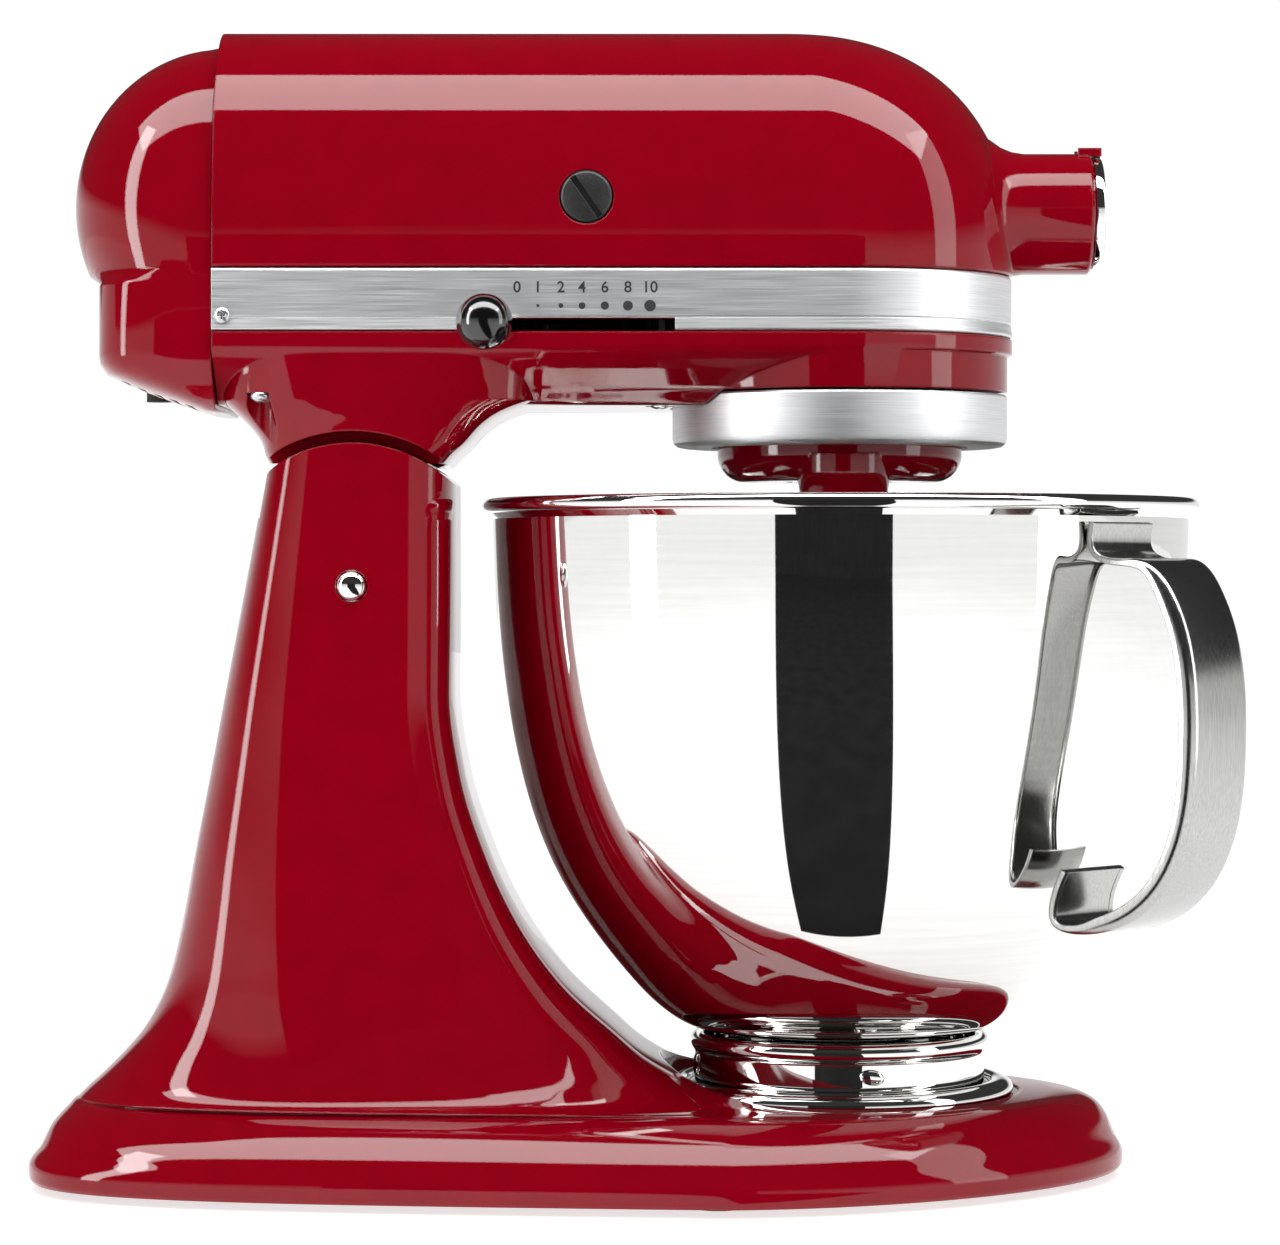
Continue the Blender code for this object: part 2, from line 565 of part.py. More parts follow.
def make_head(enamel, zinc):
    brushed = finish("brushed_aluminium", (0.62, 0.62, 0.62), 0.35, 1.0)
    black = finish("black_plastic", (0.01, 0.01, 0.01), 0.3)
    steel = finish("machined_steel", (0.45, 0.45, 0.45), 0.3, 1.0)
    bronze = finish("bearing_bronze", (0.55, 0.36, 0.15), 0.4, 1.0)
    carbon = finish("carbon", (0.02, 0.02, 0.02), 0.7)
    head = pivot("head_tilt", (PIN_X, 0, PIN_Z))
    made = []

    # Motor housing: the arched upper shell with the attachment hub on its nose.
    lip = BAND_THICKNESS + GAP
    step = BAND_TOP + GAP
    rings = [belt_ring(PARTING_Z + GAP, lip), belt_ring(step, lip), belt_ring(step + 0.0001, 0.0)]
    housing = solid("motor_housing", loft(rings + arch_rings(0.0, SEAM_X)[1:]), enamel)
    join(housing, rod(HUB_RADIUS, NOSE_X + 0.04, HUB_FRONT, "X", (0, 0, HUB_Z), 32))
    inner = [belt_ring(PARTING_Z - 0.01, lip + SHELL_WALL, SEAM_X - 0.02),
             belt_ring(SPRING_Z - 0.001, lip + SHELL_WALL, SEAM_X - 0.02)]
    cut(housing, loft(inner + arch_rings(SHELL_WALL + 0.0015, SEAM_X - 0.02, 7)[1:]))
    cut(housing, rod(HUB_BORE, NOSE_X + 0.05, HUB_FRONT + 0.01, "X", (0, 0, HUB_Z), 24))
    cut(housing, rod(THUMB_SCREW_RADIUS + RUNNING, 0.005, HUB_RADIUS + 0.01, "Y", (THUMB_SCREW_X, 0, HUB_Z), 16))
    cut(housing, rod(BRUSH_CAP_RADIUS + GAP, -0.08, 0.08, "Y", (BRUSH_X, 0, MOTOR_Z), 24))
    cap_x, cap_z = cap_axis()
    for side in (-1, 1):
        low, high = sorted((side * 0.0046, side * 0.0064))
        join(housing, block((HUB_FRONT - 0.004, low, cap_z - 0.0012), (cap_x + 0.0014, high, cap_z + 0.0014)))
    join(housing, rod(0.0008, -0.006, 0.006, "Y", (cap_x, 0, cap_z), 12))
    made.append(housing)

    # Lower gearcase: belt, sloping keel, round front below it, and the skirt over the column.
    keel = [(GEARCASE_BOTTOM, KEEL_HALF_WIDTH - 0.004, 0.090), (GEARCASE_BOTTOM + 0.0017, KEEL_HALF_WIDTH, 0.094),
            (FLANK_Z - 0.006, HEAD_HALF_WIDTH - 0.006, 0.110)]
    rings = [head_ring(z, half, front, BOWL_X, SEAM_X) for z, half, front in keel]
    low_step = BAND_BOTTOM - GAP
    rings += [belt_ring(FLANK_Z, 0.0), belt_ring(low_step, 0.0), belt_ring(low_step + 0.0001, lip),
              belt_ring(PARTING_Z, lip)]
    gearcase = solid("lower_gearcase", loft(rings), enamel)
    join(gearcase, rod(HEAD_HALF_WIDTH - 0.0005, GEARCASE_BOTTOM + 0.0042, FLANK_Z + 0.001,
                       centre=(BOWL_X, 0, 0), steps=36))
    skirt = []
    bottom = PIN_Z + 0.0370
    for height, back, front, half in skirt_stations(bottom):
        ring = []
        middle = (back + front) / 2
        for along, across in circle(1.0, 28):
            ring.append((middle + (front - back) / 2 * power_curve(along, 5), half * power_curve(across, 5), height))
        skirt.append(ring)
    join(gearcase, loft(skirt))
    cut(gearcase, rod(SADDLE_RADIUS + RUNNING, -0.08, 0.08, "Y", (PIN_X, 0, PIN_Z), 40))
    for start, end in ((-0.08, -SADDLE_BAND), (SADDLE_BAND, 0.08)):
        cut(gearcase, rod(SADDLE_RADIUS + SADDLE_GAP, start, end, "Y", (PIN_X, 0, PIN_Z), 40))
    cut(gearcase, rod(DRIP_RING_RADIUS + 0.0009, PIN_Z + 0.02, GEARCASE_BOTTOM + 0.0046, centre=(BOWL_X, 0, 0),
                      steps=36))
    trough = [(GEARCASE_BOTTOM + 0.0075, KEEL_HALF_WIDTH - 0.002, 0.088),
              (FLANK_Z - 0.001, HEAD_HALF_WIDTH - lip - SHELL_WALL, NOSE_X + NOSE_LENGTH - lip - SHELL_WALL)]
    rings = [head_ring(z, half, front, BOWL_X, SEAM_X - 0.02) for z, half, front in trough]
    rings.append(belt_ring(PARTING_Z + 0.01, lip + SHELL_WALL, SEAM_X - 0.02))
    cut(gearcase, loft(rings))
    cut(gearcase, rod(HEAD_HALF_WIDTH - 0.0085, GEARCASE_BOTTOM + 0.0085, FLANK_Z + 0.002,
                      centre=(BOWL_X, 0, 0), steps=36))
    join(gearcase, rod(LUG_RADIUS, -LUG_HALF_WIDTH, LUG_HALF_WIDTH, "Y", (PIN_X, 0, PIN_Z), 28))
    neck = block((-NECK_THICKNESS / 2, -LUG_HALF_WIDTH + 0.0005, 0.010),
                 (NECK_THICKNESS / 2, LUG_HALF_WIDTH - 0.0005, SADDLE_RADIUS + SADDLE_GAP + 0.008))
    join(gearcase, placed(neck, Matrix.Translation((PIN_X, 0, PIN_Z)) @ Matrix.Rotation(NECK_LEAN, 4, "Y")))
    join(gearcase, block((PIN_X + 0.002, -0.012, PIN_Z - 0.0147), (PIN_X + 0.0165, 0.012, PIN_Z - 0.001)))
    cut(gearcase, rod(PIN_RADIUS + RUNNING, -0.08, 0.08, "Y", (PIN_X, 0, PIN_Z)))
    cut(gearcase, rod(0.009 + GAP, GEARCASE_BOTTOM - 0.01, GEARCASE_BOTTOM + 0.03, centre=(BOWL_X, 0, 0), steps=24))
    seat, shoulder = GEARCASE_BOTTOM + 0.002, LEVER_Z - LEVER_ARM / 2 - GAP
    post_top = LEVER_Z + LEVER_ARM / 2 + RUNNING
    profile = [(0, seat), (0.006, seat), (0.006, shoulder), (0.003, shoulder), (0.003, post_top), (0, post_top)]
    join(gearcase, turned(profile, centre=(LEVER_PIVOT_X, 0, 0), steps=16))
    slot_low, slot_high = lever_slot()
    cut(gearcase, block((slot_low, -0.08, LEVER_Z - 0.0019), (slot_high, -0.03, LEVER_Z + 0.0019)))
    made.append(gearcase)

    made.append(make_band(brushed))
    cover = solid("rear_cover", loft([cover_ring(row) for row in cover_stations(0.0)]), enamel)
    cut(cover, loft([cover_ring(row, 10, 0.01) for row in cover_stations(COVER_WALL)]))
    gland_x = CHIN_BACK_X + 0.014
    cut(cover, rod(GLAND_RADIUS + GAP, COVER_BOTTOM - 0.01, COVER_BOTTOM + 0.02, centre=(gland_x, 0.018, 0), steps=20))
    for slot in range(5):
        x = SEAM_X - 0.009 - slot * 0.0048
        cut(cover, block((x - 0.0012, -0.030, COVER_BOTTOM - 0.01), (x + 0.0012, -0.004, CHIN_BOTTOM + 0.012)))
    made.append(cover)
    screw_z = (CHIN_TOP + CHIN_BOTTOM) / 2
    cut(cover, rod(0.0018 + GAP, CHIN_BACK_X - 0.01, CHIN_BACK_X + 0.01, "X", (0, 0, screw_z), 12))
    seat = CHIN_BACK_X - GAP
    profile = [(0, seat - 0.0018), (0.0026, seat - 0.0018), (0.0036, seat - 0.0008), (0.0036, seat), (0.0018, seat),
               (0.0018, seat + 0.012), (0, seat + 0.012)]
    made.append(solid("rear_cover_screw", turned(profile, "X", (0, 0, screw_z), 10), zinc))
    gland_low = (COVER_BOTTOM + CHIN_BOTTOM) / 2 - 0.001
    profile = [(GLAND_BORE, gland_low), (GLAND_RADIUS, gland_low), (GLAND_RADIUS, gland_low + GLAND_LENGTH),
               (GLAND_BORE, gland_low + GLAND_LENGTH)]
    made.append(solid("cord_gland", turned(profile, centre=(gland_x, 0.018, 0), steps=20, closed=True), black))

    made += make_head_fasteners(gearcase, zinc, black)
    made += make_motor_fixed_parts(black, steel, bronze, carbon)

    # Fixed ring gear below the gearcase, inside the drip ring.
    top = GEARCASE_BOTTOM + 0.0042 - GAP
    ring = gear_outline(RING_TEETH, GEAR_MODULE, internal=True, phase=-math.pi / 2)
    outer = circle(DRIP_RING_RADIUS - 0.003, 44)
    made.append(solid("ring_gear", prism(outer, top - 0.0102, top, [ring], centre=(BOWL_X, 0, 0)), steel, 20))
    flange = PLANET_RADIUS + 0.002
    wall = DRIP_RING_RADIUS - 0.0024
    profile = [(flange, DRIP_RING_BOTTOM), (DRIP_RING_RADIUS - 0.0022, DRIP_RING_BOTTOM),
               (DRIP_RING_RADIUS, DRIP_RING_BOTTOM + 0.0025), (DRIP_RING_RADIUS, top),
               (wall, top), (wall, DRIP_RING_BOTTOM + 0.0013), (flange, DRIP_RING_BOTTOM + 0.0013)]
    made.append(solid("drip_ring", turned(profile, centre=(BOWL_X, 0, 0), steps=36, closed=True), brushed))
    hang(head, *made)
    return head, steel, bronze, black, brushed


def cap_axis():
    """Where the hub cap's hinge lies: just above the cap, on the front of the hub."""
    return HUB_FRONT + HUB_CAP_THICKNESS / 2, HUB_Z + HUB_CAP_RADIUS + 0.0012


def skirt_stations(bottom):
    """Height, back, front and half width of the skirt that comes down over the column."""
    back, front = COLUMN_REAR - 0.0025, COLUMN_FRONT - 0.0035
    half = COLUMN_HALF_WIDTH - 0.0008
    return [
        (bottom, back + 0.0012, front + 0.0012, half - 0.0004),
        (PIN_Z + 0.0395, back, front + 0.0034, half + 0.0004),
        (PIN_Z + 0.0425, back - 0.0008, front + 0.0067, half + 0.0012),
        (PIN_Z + 0.0470, back - 0.0036, front + 0.0108, half + 0.0023),
        (PIN_Z + 0.0518, back - 0.0084, front + 0.0175, half + 0.0036),
        (PIN_Z + 0.0560, SEAM_X + 0.0003, front + 0.0290, half + 0.0046),
        (FLANK_Z + 0.0015, SEAM_X + 0.0003, front + 0.0300, HEAD_HALF_WIDTH - 0.0006),
    ]


def lever_slot():
    """Ends along x of the slot that the speed lever's arm swings in."""
    half = (HEAD_HALF_WIDTH - 0.0005) * math.tan(LEVER_SWING) + 0.0085
    return LEVER_PIVOT_X - half, LEVER_PIVOT_X + half


def make_band(brushed):
    """Trim strip round the head, over the joint of the two castings, notched for the speed lever."""
    outer = [(x, y) for x, y, _ in head_ring(0, HEAD_HALF_WIDTH, NOSE_X + NOSE_LENGTH + 0.0005, BOWL_X, SEAM_X, 24)]
    half = HEAD_HALF_WIDTH - BAND_THICKNESS
    front = NOSE_X + NOSE_LENGTH + 0.0005 - BAND_THICKNESS
    inner = [(x, y) for x, y, _ in head_ring(0, half, front, BOWL_X, SEAM_X, 24)]
    band = solid("trim_band", prism(outer + inner[::-1], BAND_BOTTOM, BAND_TOP), brushed)
    low, high = lever_slot()
    cut(band, block((low, -0.08, BAND_BOTTOM - 0.01), (high, -0.03, LEVER_Z + 0.0021)))
    return band


def make_head_fasteners(gearcase, zinc, black):
    made = []
    # Two screws in recesses at the rear of the skirt, and one under the keel, hold the gearcase to the housing.
    places = [("rear_left", SEAM_X + 0.0145, -HEAD_HALF_WIDTH + 0.0075, GEARCASE_BOTTOM + 0.003),
              ("rear_right", SEAM_X + 0.0145, HEAD_HALF_WIDTH - 0.0075, GEARCASE_BOTTOM + 0.003),
              ("keel", 0.012, -0.020, GEARCASE_BOTTOM + 0.002)]
    for label, x, y, seat in places:
        cut(gearcase, rod(0.0045, PIN_Z + 0.02, seat, centre=(x, y, 0), steps=16))
        cut(gearcase, rod(0.0022 + GAP, seat - 0.01, seat + 0.03, centre=(x, y, 0), steps=12))
        profile = [(0, seat - 0.0026 - GAP), (0.0026, seat - 0.0026 - GAP), (0.0037, seat - 0.0012 - GAP),
                   (0.0037, seat - GAP), (0.0022, seat - GAP), (0.0022, seat + 0.016), (0, seat + 0.016)]
        made.append(solid(f"housing_screw_{label}", turned(profile, centre=(x, y, 0), steps=10), zinc))
    # Brush caps: slotted plugs, one on each side.
    for label, side in (("left", -1), ("right", 1)):
        face = HEAD_HALF_WIDTH - 0.0004
        profile = [(0, face - 0.006), (BRUSH_CAP_RADIUS, face - 0.006), (BRUSH_CAP_RADIUS, face - 0.0006),
                   (BRUSH_CAP_RADIUS - 0.0006, face), (0, face)]
        bm = turned([(r, side * h) for r, h in profile], "Y", (BRUSH_X, 0, MOTOR_Z), 24)
        cap = solid(f"brush_cap_{label}", bm, black)
        low, high = sorted((side * (face - 0.0016), side * (face + 0.002)))
        bar = block((-BRUSH_CAP_RADIUS * 0.92, low, -0.0009), (BRUSH_CAP_RADIUS * 0.92, high, 0.0009))
        turn = Matrix.Translation((BRUSH_X, 0, MOTOR_Z)) @ Matrix.Rotation(math.radians(55), 4, "Y")
        cut(cap, placed(bar, turn))
        made.append(cap)
    return made


def make_motor_fixed_parts(black, steel, bronze, carbon):
    made = []
    # Stator: a laminated ring with two poles' worth of opening for the rotor.
    stator = rod(STATOR_RADIUS, -0.082, -0.032, "X", (0, 0, MOTOR_Z), 32, ROTOR_RADIUS + 0.0008)
    made.append(solid("stator", stator, steel))
    for label, x, radius in (("front", FRONT_BEARING_X, BEARING_RADIUS), ("rear", REAR_BEARING_X, BEARING_RADIUS)):
        bearing = rod(radius, x - 0.0035, x + 0.0035, "X", (0, 0, MOTOR_Z), 16, ROTOR_SHAFT_RADIUS + RUNNING)
        made.append(solid(f"{label}_bearing", bearing, bronze))
        half_y, low, high = 0.036, MOTOR_Z - 0.018, MOTOR_Z + 0.030
        outline = [(-half_y, low), (half_y, low), (half_y, high), (-half_y, high)]
        hole = circle(radius + GAP * 1.5, 16, (0, MOTOR_Z))
        bracket = prism(outline, x - 0.002, x + 0.002, [hole], axis="X")
        made.append(solid(f"{label}_bearing_bracket", bracket, steel))
    for label, side in (("left", -1), ("right", 1)):
        holder = rod(0.0062, side * 0.0135, side * (HEAD_HALF_WIDTH - 0.0072), "Y", (BRUSH_X, 0, MOTOR_Z), 12, 0.0042)
        made.append(solid(f"brush_holder_{label}", holder, black))
        low, high = sorted((side * 0.0112, side * 0.030))
        brush = block((BRUSH_X - 0.0026, low, MOTOR_Z - 0.0026), (BRUSH_X + 0.0026, high, MOTOR_Z + 0.0026))
        made.append(solid(f"carbon_brush_{label}", brush, carbon))
    board = prism([(-0.034, 0.282), (0.034, 0.282), (0.034, 0.318), (-0.034, 0.318)], -0.1410, -0.1394,
                  [circle(0.006, 16, (0, MOTOR_Z))], axis="X")
    made.append(solid("speed_control_board", board, finish("circuit_board", (0.02, 0.12, 0.04), 0.5)))
    # Bushings of the vertical shaft and of the hub drive.
    low, high = GEARCASE_BOTTOM + 0.0045, GEARCASE_BOTTOM + 0.018
    bushing = rod(0.009, low, high, centre=(BOWL_X, 0, 0), steps=20, bore=CENTRE_SHAFT_RADIUS + RUNNING)
    made.append(solid("centre_shaft_bushing", bushing, bronze))
    bushing = rod(HUB_BORE - GAP, 0.108, 0.118, "X", (0, 0, HUB_Z), 24, 0.008 + RUNNING)
    made.append(solid("hub_bushing", bushing, bronze))
    return made


# Moving bodies in the head

def make_controls(head, chrome, black):
    lever = pivot("speed_lever_pivot", (LEVER_PIVOT_X, 0, LEVER_Z), head)
    rest = -math.pi / 2 - LEVER_SWING
    turn = Matrix.Translation((LEVER_PIVOT_X, 0, 0)) @ Matrix.Rotation(rest, 4, "Z")
    end = LEVER_RADIUS - KNOB_RADIUS * 0.1
    eye = arc(0.0065, math.radians(40), math.radians(320), 12)
    outline = [*eye, (end, -0.0035), (end, 0.0035)]
    low, high = LEVER_Z - LEVER_ARM / 2, LEVER_Z + LEVER_ARM / 2
    arm = solid("speed_lever_arm", placed(prism(outline, low, high, [circle(0.003 + RUNNING, 12)]), turn), chrome)
    profile = [(KNOB_RADIUS * math.sin(math.pi * step / 8), -KNOB_RADIUS * math.cos(math.pi * step / 8))
               for step in range(9)]
    profile[0], profile[-1] = (0, -KNOB_RADIUS), (0, KNOB_RADIUS)
    knob = solid("speed_lever_knob", placed(turned(profile, "Z", (LEVER_RADIUS, 0, LEVER_Z), 16), turn), black, 50)
    socket = block((LEVER_RADIUS - 0.02, -0.0035 - GAP, low - GAP), (end + GAP, 0.0035 + GAP, high + GAP))
    cut(knob, placed(socket, turn))
    hang(lever, arm, knob)

    cap_x, cap_z = cap_axis()
    hinge = pivot("hub_cap_hinge", (cap_x, 0, cap_z), head)
    back = HUB_FRONT + GAP
    profile = [(0, back), (HUB_CAP_RADIUS, back), (HUB_CAP_RADIUS, HUB_FRONT + HUB_CAP_THICKNESS - 0.001),
               (HUB_CAP_RADIUS - 0.001, HUB_FRONT + HUB_CAP_THICKNESS), (HUB_CAP_RADIUS - 0.005,
               HUB_FRONT + HUB_CAP_THICKNESS), (HUB_CAP_RADIUS - 0.0056, HUB_FRONT + HUB_CAP_THICKNESS - 0.0006),
               (0, HUB_FRONT + HUB_CAP_THICKNESS - 0.0006)]
    cap = solid("hub_cap", turned(profile, "X", (0, 0, HUB_Z), 24), chrome)
    join(cap, block((cap_x - 0.0012, -0.004, cap_z - 0.003), (cap_x + 0.0012, 0.004, cap_z - 0.0005)))
    join(cap, rod(0.0015, -0.0041, 0.0041, "Y", (cap_x, 0, cap_z), 16))
    cut(cap, rod(0.0008 + RUNNING / 2, -0.01, 0.01, "Y", (cap_x, 0, cap_z), 12))
    hang(hinge, cap)

    screw = pivot("attachment_screw_axis", (THUMB_SCREW_X, HUB_RADIUS, HUB_Z), head)
    seat = HUB_RADIUS + 0.0006
    lobes = [(THUMB_KNOB_RADIUS * (1 - 0.06 * (step % 2)) * math.cos(math.pi * step / 12),
              THUMB_KNOB_RADIUS * (1 - 0.06 * (step % 2)) * math.sin(math.pi * step / 12)) for step in range(24)]
    knob = solid("attachment_knob", prism(lobes, seat, seat + 0.011, axis="Y", centre=(THUMB_SCREW_X, 0, HUB_Z)),
                 black, 20)
    join(knob, rod(THUMB_SCREW_RADIUS, HUB_BORE - 0.003, seat + 0.005, "Y", (THUMB_SCREW_X, 0, HUB_Z), 12))
    hang(screw, knob)


def make_lock_lever(chrome, black):
    slide = pivot("lock_slide", (LOCK_X, COLUMN_HALF_WIDTH, LOCK_Z))
    outer = COLUMN_HALF_WIDTH + 0.014
    place = (LOCK_X, 0, LOCK_Z)
    lever = solid("lock_lever_rod", rod(LOCK_ROD_RADIUS, LUG_HALF_WIDTH + LUG_SIDE_GAP / 2, outer, "Y", place, 16),
                  chrome)
    profile = [(0.006 * math.sin(math.pi * step / 8), outer - 0.006 * math.cos(math.pi * step / 8))
               for step in range(9)]
    profile[0], profile[-1] = (0, outer - 0.006), (0, outer + 0.006)
    knob = solid("lock_lever_knob", turned(profile, "Y", place, 12), black, 50)
    cut(knob, rod(LOCK_ROD_RADIUS + GAP, 0, outer + GAP, "Y", place, 16))
    hang(slide, lever, knob)


# Drive train

def make_drive_train(head, enamel, steel, bronze, black, brushed):
    copper = finish("copper", (0.7, 0.25, 0.12), 0.35, 1.0)
    spin = pivot("rotor_spin", (0, 0, MOTOR_Z), head)
    front = FRONT_BEARING_X + 0.004
    shaft = solid("rotor_shaft", rod(ROTOR_SHAFT_RADIUS, -0.130, front, "X", (0, 0, MOTOR_Z), 20), steel)
    # The worm's thread is a helical ridge joined to a collar on the shaft.
    start, end, lead, turns_by = WHEEL_X - 0.012, WHEEL_X + 0.012, 0.0125, 9
    join(shaft, rod(WORM_RADIUS - 0.0016, start - 0.001, end + 0.001, "X", (0, 0, MOTOR_Z), 20))
    ridge = []
    steps = int((end - start) / lead * turns_by)
    for step in range(steps + 1):
        along = start + 0.0018 + (end - start - 0.0036) * step / steps
        turn = 2 * math.pi * step / turns_by
        rings = [(WORM_RADIUS - 0.0024, -0.0014), (WORM_RADIUS, -0.0007), (WORM_RADIUS, 0.0007),
                 (WORM_RADIUS - 0.0024, 0.0014)]
        ridge.append([(along + shift, r * math.cos(turn), MOTOR_Z + r * math.sin(turn)) for r, shift in rings])
    join(shaft, loft(ridge))
    core = rod(ROTOR_RADIUS, -0.080, -0.034, "X", (0, 0, MOTOR_Z), 24, ROTOR_SHAFT_RADIUS + GAP)
    core = solid("rotor_core", core, steel)
    for slot in range(6):
        turn = Matrix.Translation((0, 0, MOTOR_Z)) @ Matrix.Rotation(math.pi * slot / 3, 4, "X")
        cut(core, placed(block((-0.09, -0.0016, ROTOR_RADIUS - 0.008), (-0.02, 0.0016, ROTOR_RADIUS + 0.004)), turn))
    commutator = rod(0.0108, BRUSH_X - 0.007, BRUSH_X + 0.007, "X", (0, 0, MOTOR_Z), 24, ROTOR_SHAFT_RADIUS + GAP)
    commutator = solid("commutator", commutator, copper)
    blades = []
    for blade in range(8):
        middle = 2 * math.pi * blade / 8
        for radius, turn in ((0.012, -0.20), (0.029, 0.04), (0.029, 0.28), (0.012, 0.28)):
            blades.append((radius * math.cos(middle + turn), radius * math.sin(middle + turn)))
    fan = prism(blades, -0.102, -0.094, [circle(ROTOR_SHAFT_RADIUS + GAP, 16)], "X", (0, 0, MOTOR_Z))
    fan = solid("cooling_fan", fan, black, 20)
    hang(spin, shaft, core, commutator, fan)

    # Worm wheel on a vertical shaft, which has the transfer pinion cut in it.
    gear_low = PARTING_Z - 0.006
    gear_high = gear_low + GEAR_WIDTH
    mesh_angle = math.atan2(WHEEL_Y, WHEEL_X - BOWL_X)
    wheel_spin = pivot("worm_wheel_spin", (WHEEL_X, WHEEL_Y, MOTOR_Z), head)
    wheel_shaft = solid("transfer_shaft", rod(WHEEL_SHAFT_RADIUS, gear_low - 0.010, MOTOR_Z + 0.008,
                                              centre=(WHEEL_X, WHEEL_Y, 0), steps=16), steel)
    outline = [(x * 0.945, y * 0.945) for x, y in gear_outline(WHEEL_TEETH, GEAR_MODULE * 0.97)]
    wheel = prism(outline, MOTOR_Z - 0.005, MOTOR_Z + 0.005, [circle(WHEEL_SHAFT_RADIUS + GAP, 16)],
                  centre=(WHEEL_X, WHEEL_Y, 0))
    wheel = solid("worm_wheel", wheel, bronze, 20)
    pitch = 2 * math.pi / TRANSFER_TEETH
    outline = gear_outline(TRANSFER_TEETH, GEAR_MODULE, phase=mesh_angle + math.pi + pitch / 2)
    join(wheel_shaft, prism(outline, gear_low, gear_high, centre=(WHEEL_X, WHEEL_Y, 0)))
    hang(wheel_spin, wheel_shaft, wheel)

    # Planetary hub, its vertical shaft, and the gears on that shaft.
    planet = pivot("planet_spin", (BOWL_X, 0, PLANET_BOTTOM), head)
    centre = (BOWL_X, 0, 0)
    top = GEARCASE_BOTTOM - 0.0086
    profile = [(0, PLANET_BOTTOM + 0.001), (PLANET_RADIUS - 0.012, PLANET_BOTTOM)]
    profile += [(PLANET_RADIUS - 0.008 + 0.008 * math.sin(a), PLANET_BOTTOM + 0.008 - 0.008 * math.cos(a))
                for a in (0.25, 0.9, math.pi / 2)]
    profile += [(PLANET_RADIUS, top), (0, top)]
    hub = solid("planetary_hub", turned(profile, centre=centre, steps=28), enamel)
    boss = (BOWL_X, -PLANET_OFFSET, 0)
    join(hub, rod(0.0135, PLANET_BOTTOM - 0.022, PLANET_BOTTOM + 0.006, centre=boss, steps=24))
    cut(hub, rod(BEATER_SHAFT_RADIUS + RUNNING, PLANET_BOTTOM - 0.03, top + 0.01, centre=boss, steps=20))
    cut(hub, rod(CENTRE_SHAFT_RADIUS + GAP, PLANET_BOTTOM + 0.004, top + 0.01, centre=centre, steps=20))
    bevel_low, bevel_high, bevel_scale = HUB_Z - BEVEL_RADIUS, HUB_Z - BEVEL_RADIUS * 0.72, 0.72
    shaft = rod(CENTRE_SHAFT_RADIUS, PLANET_BOTTOM + 0.0045, bevel_high, centre=centre, steps=20)
    shaft = solid("centre_shaft", shaft, steel)
    hole = [circle(CENTRE_SHAFT_RADIUS + GAP, 20)]
    outline = gear_outline(CENTRE_TEETH, GEAR_MODULE, phase=mesh_angle)
    gear = solid("centre_gear", prism(outline, gear_low, gear_high, hole, centre=centre), steel, 20)
    outline = gear_outline(BEVEL_TEETH, BEVEL_MODULE)
    bevel = prism(outline, bevel_low, bevel_high, centre=centre, shrink=bevel_scale)
    bevel = solid("bevel_gear", bevel, steel, 20)
    cut(bevel, rod(CENTRE_SHAFT_RADIUS + GAP, bevel_low - 0.01, bevel_high + 0.01, centre=centre, steps=20))
    hang(planet, hub, shaft, gear, bevel)

    make_beater(planet, boss, top, steel, brushed)

    drive = pivot("hub_drive_spin", (HUB_FRONT, 0, HUB_Z), head)
    outline = gear_outline(BEVEL_TEETH, BEVEL_MODULE, phase=-math.pi / 2 + math.pi / BEVEL_TEETH)
    socket = solid("hub_drive_socket", rod(0.008, BOWL_X + BEVEL_RADIUS - 0.001, HUB_FRONT - 0.005, "X",
                                           (0, 0, HUB_Z), 24), steel)
    bevel = prism(outline, BEVEL_RADIUS, BEVEL_RADIUS * 0.72, axis="X", centre=(BOWL_X, 0, HUB_Z),
                  shrink=bevel_scale)
    join(socket, bevel)
    cut(socket, block((HUB_FRONT - 0.024, -0.0047, HUB_Z - 0.0047), (HUB_FRONT + 0.01, 0.0047, HUB_Z + 0.0047)))
    hang(drive, socket)


